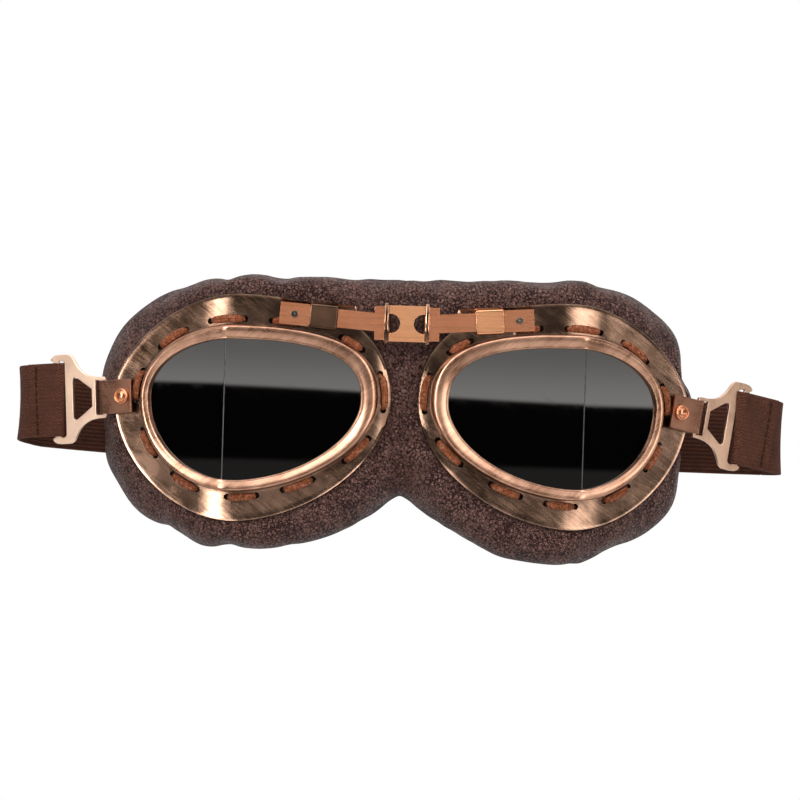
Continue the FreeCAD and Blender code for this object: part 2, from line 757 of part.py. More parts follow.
def stop_screw():
    """A small cross-slotted screw, drawn with its axis along Y and its head in front."""
    body = new_body("right_stop_screw")
    corners = [
        ("0", "0 - screw_head_thick"), ("screw_head / 2", "0 - screw_head_thick"),
        ("screw_head / 2", "0"), ("screw_shank / 2", "0"),
        ("screw_shank / 2", "2 * strip_thick"), ("0", "2 * strip_thick"),
    ]
    revolved(body, polygon_sketch(body, "screw_half", "XY_Plane", corners))
    slot_depth = "screw_head_thick / 2"
    for number, plane in enumerate(("XY_Plane", "YZ_Plane")):
        across = rectangle("0 - screw_slot / 2", "screw_slot / 2",
                           "0 - screw_head_thick", f"0 - screw_head_thick + {slot_depth}")
        turned = [(up, side) for side, up in across]
        pocketed(body, polygon_sketch(body, f"screw_slot{number}", plane, turned if number else across))
    middle = f"( {STOP_START} + stop_length / 2 )"
    bind(body, x=f"hinge_place + {middle} * cos ( arm_tilt )",
         y=f"front_plane - arm_stand + pin_set + {LEAF_FRONT} - strip_thick",
         z=f"bridge_z + {middle} * sin ( arm_tilt )")
    return body


nodes["bridge_link"] = bridge_link()
pair("bridge_arm", bridge_arm())
pair("bridge_sleeve", bridge_sleeve())
pair("stop_screw", stop_screw())
for side_name, side_sign in SIDES.items():
    nodes[f"{side_name}_hinge_pin"] = hinge_pin(f"{side_name}_hinge_pin", side_sign)


def nose_pad():
    """The leather over the nose, between the side pads, with its notch."""
    body = new_body("nose_pad")
    half = "( pad_cut - nose_gap )"
    top = "eye_z + pad_top"
    corners = [
        (f"0 - {half}", "notch_foot"), ("0", "notch_apex"), (half, "notch_foot"),
        (half, top), (f"0 - {half}", top),
    ]
    sketch = polygon_sketch(body, "nose_outline", "XZ_Plane", corners)
    padded(body, sketch, "0 - front_plane - nose_front - nose_rear")
    bind(body, y="( front_plane + nose_front - nose_rear ) / 2")
    return body


nodes["nose_pad"] = nose_pad()


# Strap fittings, drawn around the rivet: X outwards along the side of the frame, Y to its back

def fitting_placement(side):
    """Where a fitting drawn around the rivet lies on the right (1) or the left (-1)."""
    droop = size("right_droop") if side > 0 else -size("left_droop")
    hang = Rotation(Vector(0, 1, 0), droop)
    lean = Rotation(Vector(0, 0, 1), side * size("bend_angle"))
    flip = Rotation(Vector(0, 1, 0), 0 if side > 0 else 180)
    seat = rivet_seat()
    return Placement(Vector(side * seat.x, seat.y, seat.z), lean.multiply(flip).multiply(hang))


def fitting(name, make):
    """Make a fitting for both sides."""
    for side_name, side in SIDES.items():
        label = f"{side_name}_{name}"
        item = make(label)
        item.Label = label
        item.Placement = fitting_placement(side)
        nodes[label] = item


TAB_FRONT = "0 - tab_lift - 2 * tab_thick - 2 * tab_fold"
FOLD_AXIS = "0 - tab_lift - tab_thick - tab_fold"


def strap_tab(label):
    front = box(label + "_front", "tab_inner + tab_length", "tab_thick", "tab_height",
                "0 - tab_inner", TAB_FRONT, "0 - tab_height / 2")
    under = box(label + "_under", "tab_length", "tab_thick", "tab_height",
                "0", "0 - tab_lift - tab_thick", "0 - tab_height / 2")
    round_end = cylinder(label + "_round_end", "tab_under", "tab_thick",
                         "0", "0 - tab_lift - tab_thick", "0", "Y")
    fold = cylinder(label + "_fold", "tab_fold + tab_thick", "tab_height",
                    "tab_length", FOLD_AXIS, "0 - tab_height / 2")
    inside = cylinder(label + "_fold_inside", "tab_fold", "2 * tab_height",
                      "tab_length", FOLD_AXIS, "0 - tab_height")
    between = box(label + "_between", "tab_inner + tab_length", "2 * tab_fold", "2 * tab_height",
                  "0 - tab_inner", f"{FOLD_AXIS} - tab_fold", "0 - tab_height")
    hole = cylinder(label + "_hole", "rivet_shank / 2 + rivet_gap", "20 * tab_thick",
                    "0", "0 - 10 * tab_thick", "0", "Y")
    return cut(label, fused(label + "_solid", [front, under, round_end, fold]), [inside, between, hole])


def tab_rivet(label):
    """A domed rivet through the tab and the sheet, upset behind it."""
    body = new_body(label)
    front = f"{TAB_FRONT} - rivet_gap"
    rear = "sheet_thick + fit_gap"
    corners = [
        ("0", f"{front} - rivet_dome"),
        ("rivet_crown", f"{front} - rivet_dome + rivet_crown_drop"),
        ("rivet_shoulder", f"{front} - rivet_dome + rivet_shoulder_drop"), ("rivet_head / 2", front),
        ("rivet_shank / 2", front), ("rivet_shank / 2", rear), ("rivet_tail / 2", rear),
        ("rivet_tail / 2", f"{rear} + rivet_tail_thick"), ("0", f"{rear} + rivet_tail_thick"),
    ]
    revolved(body, polygon_sketch(body, label + "_half", "XY_Plane", corners))
    return body


def strap_buckle(label):
    """A flat plate drawn around its near bar, with slots for the tab and the strap."""
    body = new_body(label)
    near = "0 - buckle_near_bar / 2"
    lower = [
        (near, "0 - buckle_near_half"), ("neck_end", "0 - neck_half"),
        ("lug_start", "0 - lug_half + lug_bevel"), ("lug_start + lug_bevel", "0 - lug_half"),
        ("buckle_end - lug_bevel", "0 - lug_half"), ("buckle_end", "0 - lug_half + lug_bevel"),
    ]
    upper = [(along, f"0 - ( {up} )") for along, up in reversed(lower)]
    padded(body, polygon_sketch(body, label + "_outline", "XZ_Plane", lower + upper), "buckle_thick")
    tab_half = "buckle_near_half - buckle_rail"
    strap_half = "strap_width / 2 + strap_slot_gap"
    windows = {
        "tab_slot": rectangle("buckle_near_bar / 2", "buckle_slot_end", f"0 - ( {tab_half} )", tab_half),
        "window": [("window_start", "0 - window_start_half"), ("window_end", "0 - window_end_half"),
                   ("window_end", "window_end_half"), ("window_start", "window_start_half")],
        "strap_slot": rectangle("strap_slot_start", "strap_slot_end", f"0 - ( {strap_half} )", strap_half),
    }
    for opening, corners in windows.items():
        pocketed(body, polygon_sketch(body, f"{label}_{opening}", "XZ_Plane", corners))
    return body


def fold_axis():
    """The buckle's near bar, from the rivet."""
    behind = -(size("tab_lift") + size("tab_thick") + size("tab_fold"))
    return Vector(size("tab_length"), behind, 0)


def strap_end(label):
    """The sewn loop round the buckle's outer bar and the strap's turn to the back, cut off upright."""
    thick = size("strap_thick")
    inner = size("strap_loop_radius")
    low = -size("strap_width") / 2
    loop = fold_axis() + Vector(size("strap_loop_place"), 0, low)
    lap = fold_axis() + Vector(size("strap_seam_end"), 0, low)
    angle = math.radians(size("bend_angle"))
    middle = lap + Vector(0, inner + thick / 2, 0)
    seat = rivet_seat()
    start_y = seat.y + middle.x * math.sin(angle) + middle.y * math.cos(angle)
    turn = (size("band_y") - start_y) / (1 + math.cos(angle))
    centre = middle + Vector(0, turn, 0)
    sweep = math.pi - angle

    def on_turn(radius, share):
        along = sweep * share
        return centre + Vector(radius * math.sin(along), -radius * math.cos(along), 0)

    heading = Vector(math.cos(sweep), math.sin(sweep), 0)
    last = on_turn(turn, 1.0)
    last_x = seat.x + last.x * math.cos(angle) - last.y * math.sin(angle)
    run = heading * (last_x - size("strap_turn_end") + size("strap_width") / 2)
    near = turn - thick / 2
    far = turn + thick / 2

    def offset(point, behind):
        return Vector(point.x, point.y + behind, low)

    edges = [
        Part.makeLine(offset(lap, -inner - thick), offset(loop, -inner - thick)),
        Part.Arc(offset(loop, -inner - thick), loop - Vector(inner + thick, 0, 0),
                 offset(loop, inner + thick)).toShape(),
        Part.makeLine(offset(loop, inner + thick), offset(lap, inner + thick)),
        Part.Arc(offset(lap, inner + thick), on_turn(near, 0.5), on_turn(near, 1.0)).toShape(),
        Part.makeLine(on_turn(near, 1.0), on_turn(near, 1.0) + run),
        Part.makeLine(on_turn(near, 1.0) + run, on_turn(far, 1.0) + run),
        Part.makeLine(on_turn(far, 1.0) + run, on_turn(far, 1.0)),
        Part.Arc(on_turn(far, 1.0), on_turn(far, 0.5), offset(lap, inner)).toShape(),
        Part.makeLine(offset(lap, inner), offset(loop, inner)),
        Part.Arc(offset(loop, inner), loop - Vector(inner, 0, 0), offset(loop, -inner)).toShape(),
        Part.makeLine(offset(loop, -inner), offset(lap, -inner)),
        Part.makeLine(offset(lap, -inner), offset(lap, -inner - thick)),
    ]
    solid = Part.Face(Part.Wire(edges)).extrude(Vector(0, 0, size("strap_width")))
    side = SIDES[label.split("_")[0]]
    low_x = size("strap_turn_end") if side > 0 else -size("strap_turn_end") - TALL
    keep = Part.makeBox(TALL, TALL, TALL, Vector(low_x, -TALL / 2, -TALL / 2))
    keep.Placement = fitting_placement(side).inverse().multiply(keep.Placement)
    item = doc.addObject("Part::Feature", label)
    item.Shape = solid.common(keep)
    return item


fitting("strap_tab", strap_tab)
fitting("tab_rivet", tab_rivet)
fitting("strap_buckle", strap_buckle)
for side_name in SIDES:
    buckle = nodes[f"{side_name}_strap_buckle"]
    buckle.Placement = buckle.Placement.multiply(Placement(fold_axis(), Rotation()))
fitting("strap_end", strap_end)


# Rear bands, lapped behind the head and held together by the slider

BAND_STEP = "( strap_thick + band_gap ) / 2"


def rear_band(label, start, middle_y):
    item = box(label, "band_lap + strap_turn_end - nose_gap", "strap_thick", "strap_width",
               start, f"{middle_y} - strap_thick / 2", "band_z - strap_width / 2")
    item.Label = label
    return item


nodes["left_strap_band"] = rear_band("left_strap_band", "nose_gap - strap_turn_end", f"band_y - {BAND_STEP}")
nodes["right_strap_band"] = rear_band("right_strap_band", "0 - band_lap", f"band_y + {BAND_STEP}")


def strap_slider():
    """A flat loop round both bands."""
    body = new_body("strap_slider")
    half_y = f"( {BAND_STEP} + strap_thick / 2 + slider_gap )"
    half_z = "( strap_width / 2 + slider_gap )"
    outer = rectangle(f"0 - {half_y} - slider_wall", f"{half_y} + slider_wall",
                      f"0 - {half_z} - slider_wall", f"{half_z} + slider_wall")
    inner = rectangle(f"0 - {half_y}", half_y, f"0 - {half_z}", half_z)
    padded(body, polygon_sketch(body, "slider_outline", "YZ_Plane", outer), "slider_width")
    pocketed(body, polygon_sketch(body, "slider_way", "YZ_Plane", inner))
    bind(body, y="band_y", z="band_z")
    return body


nodes["strap_slider"] = strap_slider()


def write_parts():
    """Check every object and sub-part, then write one file for each node."""
    doc.recompute()
    for item in doc.Objects:
        if "Invalid" in item.State or "Error" in item.State:
            raise RuntimeError(f"{item.Name} failed: {item.State}")
    for name, item in nodes.items():
        if item.Shape.isNull() or not item.Shape.isValid():
            raise RuntimeError(f"{name} has no valid shape")
        if len(item.Shape.Solids) != 1:
            raise RuntimeError(f"{name} has {len(item.Shape.Solids)} solids")
    os.makedirs("parts", exist_ok=True)
    for name, item in nodes.items():
        item.Shape.exportStep(f"parts/{name}.step")


write_parts()
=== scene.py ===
"""Looks for a pair of split-lens riding goggles, over the frame that the solids give.

Lengths in the code are millimetres until a point is placed in a mesh. "Left" and "right" are as
seen from the front, -X and +X, and shapes are worked out for the right-hand half and mirrored.
"""

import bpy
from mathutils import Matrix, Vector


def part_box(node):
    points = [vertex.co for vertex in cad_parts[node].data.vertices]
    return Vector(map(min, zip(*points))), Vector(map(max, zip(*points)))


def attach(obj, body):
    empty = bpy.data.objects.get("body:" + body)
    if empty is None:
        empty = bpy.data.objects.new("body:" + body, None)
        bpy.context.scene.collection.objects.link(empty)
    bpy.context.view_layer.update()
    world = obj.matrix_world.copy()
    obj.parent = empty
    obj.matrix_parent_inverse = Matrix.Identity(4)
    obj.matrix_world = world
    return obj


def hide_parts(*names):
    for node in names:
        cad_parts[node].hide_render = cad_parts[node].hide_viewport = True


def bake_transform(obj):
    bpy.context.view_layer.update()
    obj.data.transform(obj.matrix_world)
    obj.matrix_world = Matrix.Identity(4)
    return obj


bl_info = {
    "name": "Riding goggles",
    "version": (1, 0, 0),
    "blender": (4, 2, 0),
    "location": "View3D > Sidebar > Goggles",
    "description": "Builds the frames, lenses, leather, lacing, straps and stage of riding goggles",
    "category": "Object",
}

import contextlib
import functools
import math

import bmesh
import bpy
from mathutils import Matrix, Vector

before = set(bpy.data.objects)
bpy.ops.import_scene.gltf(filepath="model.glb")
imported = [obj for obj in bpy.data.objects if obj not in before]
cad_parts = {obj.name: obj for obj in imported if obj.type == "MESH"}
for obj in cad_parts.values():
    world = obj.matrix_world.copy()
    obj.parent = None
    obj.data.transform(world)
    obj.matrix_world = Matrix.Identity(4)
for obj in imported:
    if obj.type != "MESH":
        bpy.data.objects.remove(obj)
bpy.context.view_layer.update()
MM = 0.001
SIDES = {"left": -1, "right": 1}

# Roundness of each outline's quarters: nose above and below, temple above and below
WINDOW_ROUND = (2.7, 1.8, 2.0, 2.05)
LACE_ROUND = (2.5, 1.8, 1.9, 1.95)
FLANGE_ROUND = (2.4, 1.8, 1.72, 1.87)
PAD_ROUND = (10.0, 2.0, 2.2, 2.15)
FOAM_ROUND = (5.0, 3.2, 2.2, 2.15)
# Puckers of the leather's edge by side: direction in degrees, height in mm, width in degrees
PUCKERS = {
    -1: ((40, -2.2, 13), (64, -1.4, 12), (86, -1.9, 7), (102, 0.8, 6), (280, 1.2, 6), (294, -1.0, 7),
         (331, 1.6, 7)),
    1: ((33, 1.6, 14), (80, -1.9, 14), (245, 1.2, 7), (287, -2.9, 12), (321, 3.4, 11))}
# Directions of the two holes of each stitch, in degrees from the temple
STITCHES = [
    (33, 54), (72, 97), (115, 130), (149, 158), (169, 183), (195, 208),
    (224, 240), (255, 272), (290, 307), (322, 339), (357, 375),
]


class GoggleSizes(bpy.types.PropertyGroup):
    window: bpy.props.FloatVectorProperty(
        name="Lens window", size=4,
        description="Reach of the window from the eye point: nose, temple, top, bottom, in mm",
        default=(42.4, 28.8, 19.6, 27.2))
    rim: bpy.props.FloatVectorProperty(
        name="Bezel", description="Face width of the bezel: nose, temple, top, bottom, in mm",
        size=4, default=(5.8, 2.8, 4.8, 3.8))
    flange: bpy.props.FloatVectorProperty(
        name="Flange", description="Width of the flange outside the bezel: nose, temple, top, bottom, in mm",
        size=4, default=(4.4, 9.4, 10.3, 10.0))
    pad: bpy.props.FloatVectorProperty(
        name="Pad", description="Reach of the leather from the eye point: nose, temple, top, bottom, in mm",
        size=4, default=(70.0, 43.2, 42.0, 51.6))
    lopsided: bpy.props.FloatProperty(
        name="Fuller left pad", default=2.6,
        description="How much wider the left pad is at the temple than the right, halved, in mm")
    dish: bpy.props.FloatProperty(
        name="Flange dish", default=0.9,
        description="How far the flange's outer edge stands ahead of its inner one, in mm")
    bezel_height: bpy.props.FloatProperty(
        name="Bezel height", description="How far the bezel stands ahead of the flange, in mm", default=5.0)
    cord: bpy.props.FloatProperty(
        name="Lacing cord", description="Width of the lacing cord, in mm", default=2.6)
    gather: bpy.props.FloatProperty(
        name="Gathers", description="How much larger the leather is cut than the pad, as a share",
        default=0.035, subtype="FACTOR")


class GoggleColours(bpy.types.PropertyGroup):
    copper: bpy.props.FloatVectorProperty(
        name="Copper", description="Bright brushed copper", subtype="COLOR", size=3,
        default=(0.65, 0.275, 0.148))
    patina: bpy.props.FloatVectorProperty(
        name="Patina", description="Darkened copper", subtype="COLOR", size=3, default=(0.135, 0.080, 0.055))
    leather: bpy.props.FloatVectorProperty(
        name="Leather", description="Raised grain of the leather", subtype="COLOR", size=3,
        default=(0.172, 0.086, 0.069))
    crease: bpy.props.FloatVectorProperty(
        name="Leather creases", description="Cracks between the grain", subtype="COLOR", size=3,
        default=(0.024, 0.0058, 0.005))
    cord: bpy.props.FloatVectorProperty(
        name="Lacing", description="Lacing cord", subtype="COLOR", size=3, default=(0.50, 0.135, 0.040))
    elastic: bpy.props.FloatVectorProperty(
        name="Strap", description="Woven elastic", subtype="COLOR", size=3, default=(0.108, 0.034, 0.0175))


# The eye point, the front of the sheet and the bend of its sides
EYE_X, EYE_Z = 57.0, 3.0
FRONT = -26.0
BEND_X, BEND, BEND_RADIUS, FLANGE_RADIUS = 60.0, math.radians(28.0), 6.0, 40.0
SIDE_OUT = Vector((math.sin(BEND), -math.cos(BEND), 0.0))
SIDE_ALONG = Vector((math.cos(BEND), math.sin(BEND), 0.0))
EAR = [(17.0, 34.9), (14.0, 22.9), (44.0, 27.7), (44.0, 36.7)]
SHEET_THICK = 1.0
# Lacing: the holes' line outside the bezel, their radius, and how a stitch lies in them
LACE_OUTSIDE = (2.0, 1.4, 2.0, 2.0)
HOLE_RADIUS, HOLE_DEPTH = 1.05, 8.0
STITCH_TOP, STITCH_BOTTOM, STITCH_HALF_HIGH, STITCH_INSET = 0.75, -1.8, 0.55, 0.55
# Panes of the split lens
PANE_AHEAD, PANE_THICK, PANE_LIP, SEAM_HALF = 2.6, 1.6, 1.0, 0.2
# Leather over the nose and the foam behind it
CURL_X, CURL_RADIUS, NOSE_SINK = 16.0, 22.0, 5.5
PAD_SPLIT = 11.3
NOTCH_TOP, NOTCH_FADE, NOTCH_ROUND = -14.0, 9.0, 1.5
FOAM_INSET = 3.2


def clamped(value):
    return min(max(value, 0.0), 1.0)


def eased(value):
    """0 to 1 with a soft start and end."""
    share = clamped(value)
    return share * share * (3 - 2 * share)


def sizes():
    return bpy.context.scene.goggle_sizes


def colours():
    return bpy.context.scene.goggle_colours


# Outlines, drawn around the eye point of the right-hand half

def reach_at(reach, rounding, turn):
    """How far an outline lies from the eye point in one direction (radians from the temple, upwards)."""
    nose, outer, top, bottom = reach
    across, up = math.cos(turn), math.sin(turn)
    half_x = outer if across >= 0 else nose
    half_z = top if up >= 0 else bottom
    power = rounding[(2 if across >= 0 else 0) + (0 if up >= 0 else 1)]
    return (abs(across / half_x) ** power + abs(up / half_z) ** power) ** (-1.0 / power)


def summed(*widths):
    return tuple(sum(one) for one in zip(*widths))


def window_at(turn, by=0.0):
    return reach_at(sizes().window, WINDOW_ROUND, turn) + by


def bezel_at(turn):
    return reach_at(summed(sizes().window, sizes().rim), WINDOW_ROUND, turn)


def lace_at(turn):
    return reach_at(summed(sizes().window, sizes().rim, LACE_OUTSIDE), LACE_ROUND, turn)


def ear_at(turn):
    """Furthest crossing of a ray from the eye point with the bridge ear, or 0."""
    way = Vector((math.cos(turn), math.sin(turn)))
    far = 0.0
    for (ax, az), (bx, bz) in zip(EAR, EAR[1:] + EAR[:1]):
        start = Vector((ax - EYE_X, az - EYE_Z))
        edge = Vector((bx - ax, bz - az))
        slope = way.x * edge.y - way.y * edge.x
        if abs(slope) < 1e-9:
            continue
        along = (start.x * edge.y - start.y * edge.x) / slope
        share = (start.x * way.y - start.y * way.x) / slope
        if 0.0 <= share <= 1.0:
            far = max(far, along)
    return far


def flange_at(turn):
    plain = reach_at(summed(sizes().window, sizes().rim, sizes().flange), FLANGE_ROUND, turn)
    return max(plain, ear_at(turn))


def foam_at(turn):
    outer, top, bottom = (one - FOAM_INSET for one in sizes().pad[1:])
    return reach_at((EYE_X - PAD_SPLIT, outer, top, bottom), FOAM_ROUND, turn)


def from_nose(turn):
    """0 over the nose, where both pads must meet, to 1 at the temple half."""
    return eased((math.cos(turn) + 0.8) / 0.9)


def pad_at(turn, side=0):
    """The leather's outline; the left pad reaches further out and less far up than the right."""
    nose, outer, top, bottom = sizes().pad
    lean = side * sizes().lopsided * from_nose(turn)
    reach = reach_at((nose, outer - lean, top + 0.4 * lean, bottom + 0.65 * lean), PAD_ROUND, turn)
    for place, height, width in PUCKERS.get(side, ()):
        away = (math.degrees(turn) - place + 180) % 360 - 180
        reach += height * math.exp(-(away / width) ** 2)
    return reach


def depth_at(x, radius=BEND_RADIUS):
    """How far the bent frame lies behind its flat front part."""
    start = BEND_X - radius * math.tan(BEND / 2)
    curl = CURL_X - x
    if curl > 0:
        return CURL_RADIUS - math.sqrt(max(CURL_RADIUS ** 2 - curl ** 2, 4.0))
    if x <= start:
        return 0.0
    if x < start + radius * math.sin(BEND):
        return radius - math.sqrt(radius ** 2 - (x - start) ** 2)
    return (x - BEND_X) * math.tan(BEND)


def flange_depth(x):
    return depth_at(x, FLANGE_RADIUS)


def leather_depth(x):
    """As the frame, but the leather sinks smoothly to the middle of the nose."""
    if x >= CURL_X:
        return depth_at(x)
    return NOSE_SINK * eased((CURL_X - x) / CURL_X)


def on_frame(turn, reach, behind, depth=depth_at):
    """A point of the right-hand half: direction, distance from the eye point, depth behind the sheet."""
    x = EYE_X + reach * math.cos(turn)
    z = EYE_Z + reach * math.sin(turn)
    return Vector((x, FRONT + depth(x) + behind, z))


def around_eye(point):
    """X, direction and distance from the eye point of a place in a mesh, as on the right-hand half."""
    x, z = abs(point.x) / MM, point.z / MM
    return x, math.atan2(z - EYE_Z, x - EYE_X), math.hypot(x - EYE_X, z - EYE_Z)


def turns(count):
    return [2 * math.pi * step / count for step in range(count)]


# Modelling

def clear_selection():
    if bpy.context.object and bpy.context.object.mode != "OBJECT":
        bpy.ops.object.mode_set(mode="OBJECT")
    bpy.ops.object.select_all(action="DESELECT")


def choose(piece):
    clear_selection()
    piece.select_set(True)
    bpy.context.view_layer.objects.active = piece


@contextlib.contextmanager
def editing(piece, action="SELECT"):
    """Edit mode on one piece, with all of it selected or nothing."""
    choose(piece)
    bpy.ops.object.mode_set(mode="EDIT")
    bpy.ops.mesh.select_all(action=action)
    yield bmesh.from_edit_mesh(piece.data)
    bpy.ops.object.mode_set(mode="OBJECT")


def mirrored(point, side):
    return Vector((side * point.x, point.y, point.z))


def placed(point, side):
    return mirrored(point, side) * MM


def duplicate(piece, name):
    """A copy with a mesh of its own."""
    copy = piece.copy()
    copy.data = piece.data.copy()
    copy.name = name
    bpy.context.scene.collection.objects.link(copy)
    return copy


def lofted(name, rings, side=1, closed=False):
    """Extrude a circle from ring to ring; a closed loft is a tube round the loop."""
    clear_selection()
    bpy.ops.mesh.primitive_circle_add(vertices=len(rings[0]), radius=0.01)
    piece = bpy.context.object
    piece.name = name
    for mark in ("ring", "step"):
        piece.data.attributes.new(mark, "INT", "POINT")
    with editing(piece) as mesh:
        order = list(mesh.verts)
        for number, ring in enumerate(rings):
            if number:
                bpy.ops.mesh.extrude_region()
                mesh = bmesh.from_edit_mesh(piece.data)
                order = pushed_out(mesh, order)
            ring_mark, step_mark = (mesh.verts.layers.int[one] for one in ("ring", "step"))
            for step, (vert, point) in enumerate(zip(order, ring)):
                vert.co = placed(point, side)
                vert[ring_mark], vert[step_mark] = number, step
            bmesh.update_edit_mesh(piece.data)
        if closed:
            bpy.ops.mesh.select_all(action="DESELECT")
            for edge in mesh.edges:
                edge.select_set(edge.is_boundary)
            bpy.ops.mesh.bridge_edge_loops()
        bpy.ops.mesh.select_all(action="SELECT")
        bpy.ops.mesh.normals_make_consistent(inside=False)
    return piece


def pushed_out(mesh, order):
    """The selected vertices that an extrusion made, in the order of those that they came from."""
    known = {vert: place for place, vert in enumerate(order)}
    fresh = list(order)
    for vert in mesh.verts:
        if vert.select:
            for edge in vert.link_edges:
                other = edge.other_vert(vert)
                if other in known and not other.select:
                    fresh[known[other]] = vert
    return fresh


def with_modifier(piece, kind, **settings):
    """Add a modifier, set it and apply it."""
    choose(piece)
    one = piece.modifiers.new(kind.title(), kind)
    for key, value in settings.items():
        setattr(one, key, value)
    bpy.ops.object.modifier_apply(modifier=one.name)
    return piece


def smoothed(piece, levels=1):
    return with_modifier(piece, "SUBSURF", levels=levels, render_levels=levels)


def shaded(piece, angle=35.0):
    choose(piece)
    bpy.ops.object.shade_smooth_by_angle(angle=math.radians(angle))
    return piece


def joined(name, pieces):
    clear_selection()
    for one in pieces:
        one.select_set(True)
    bpy.context.view_layer.objects.active = pieces[0]
    bpy.ops.object.join()
    whole = bpy.context.object
    whole.name = name
    return whole


def dressed(piece, paints, slot, body, *nodes):
    """Give a finished piece its materials, its body and the nodes it stands for. The slot is not used."""
    piece.data.materials.clear()
    for one in paints:
        piece.data.materials.append(one)
    if body:
        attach(piece, body)
    if nodes:
        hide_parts(*nodes)
    return piece


def solid_copy(node, name):
    """A merged copy of a CAD node's mesh, in place."""
    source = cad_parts[node]
    mesh = source.data.copy()
    mesh.transform(source.matrix_world)
    copy = bpy.data.objects.new(name, mesh)
    bpy.context.scene.collection.objects.link(copy)
    with editing(copy):
        bpy.ops.mesh.remove_doubles(threshold=1e-6)
        bpy.ops.mesh.dissolve_limited(angle_limit=math.radians(1.0))
    return copy


def bevelled(piece, width, segments=2, edges="ANGLE"):
    """Break the edges; their faces take the second material, where the plating is rubbed bright."""
    piece.data.materials.clear()
    with_modifier(piece, "BEVEL", width=width * MM, segments=segments, limit_method=edges,
                  angle_limit=math.radians(28.0), material=1)
    shaded(piece)
    return with_modifier(piece, "WEIGHTED_NORMAL", keep_sharp=True)


def capped(piece):
    """Close the open ends of a loft."""
    with editing(piece):
        bpy.ops.mesh.fill_holes(sides=0)
        bpy.ops.mesh.normals_make_consistent(inside=False)
    return piece


def turned(name, middle, axis, section, side, inlay=0.0):
    """A piece turned round an axis from (radius, height) pairs.

    Faces that lie within inlay of the axis, at the head, take the second material.
    """
    first = axis.orthogonal().normalized()
    second = axis.cross(first)
    spokes = [first * math.cos(turn) + second * math.sin(turn) for turn in turns(36)]
    rings = [[middle + axis * up + spoke * radius for spoke in spokes] for radius, up in section]
    piece = capped(lofted(name, rings, side))
    shaded(piece, 50.0)
    for face in piece.data.polygons:
        away = mirrored(face.center, side) / MM - middle
        if (away - axis * away.dot(axis)).length < inlay and away.dot(axis) > -1.0:
            face.material_index = 1
    return piece


def middle_of(node):
    """Middle of a CAD node's box, in millimetres, seen as on the right-hand half."""
    low, high = (Vector(one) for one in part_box(node))
    middle = (low + high) / 2 / MM
    return Vector((abs(middle.x), middle.y, middle.z)), low / MM, high / MM


# Materials

class Field:
    """A number or colour that varies over a surface, with arithmetic."""

    def __init__(self, nodes, socket):
        self.nodes, self.socket = nodes, socket

    def maths(self, operation, *others):
        found = self.nodes.node("Math", dict(enumerate((self, *others))), operation=operation)
        return Field(self.nodes, found.outputs[0])

    def __add__(self, other):
        return self.maths("ADD", other)

    def __sub__(self, other):
        return self.maths("SUBTRACT", other)

    def __mul__(self, other):
        return self.maths("MULTIPLY", other)

    __radd__ = __add__
    __rmul__ = __mul__

    def __rsub__(self, other):
        return (self * -1.0) + other

    def least(self, other):
        return self.maths("MINIMUM", other)

    def most(self, other):
        return self.maths("MAXIMUM", other)

    def step(self, low, high):
        """0 below low, 1 above high, smooth between."""
        sockets = {"Value": self, "From Min": low, "From Max": high}
        found = self.nodes.node("MapRange", sockets, interpolation_type="SMOOTHSTEP")
        return Field(self.nodes, found.outputs["Result"])

    def wave(self, size):
        """A sine of this length."""
        return (self * (2 * math.pi / size)).maths("SINE")


class Nodes:
    """Shader nodes of a material or of the world."""

    def __init__(self, tree):
        self.tree = tree

    def node(self, kind, sockets=None, **settings):
        """Add a node: its settings first, then the values or links of its sockets."""
        found = self.tree.nodes.new("ShaderNode" + kind)
        for key, value in settings.items():
            setattr(found, key, value)
        for key, value in (sockets or {}).items():
            self.feed(found.inputs[key], value)
        return found

    def feed(self, socket, value):
        if isinstance(value, Field):
            value = value.socket
        if isinstance(value, bpy.types.NodeSocket):
            self.tree.links.new(value, socket)
        elif socket.type == "RGBA":
            socket.default_value = (*value, 1.0)
        else:
            socket.default_value = value

    def present(self, kind):
        """The node of this type that the tree already has."""
        return next(one for one in self.tree.nodes if one.type == kind)


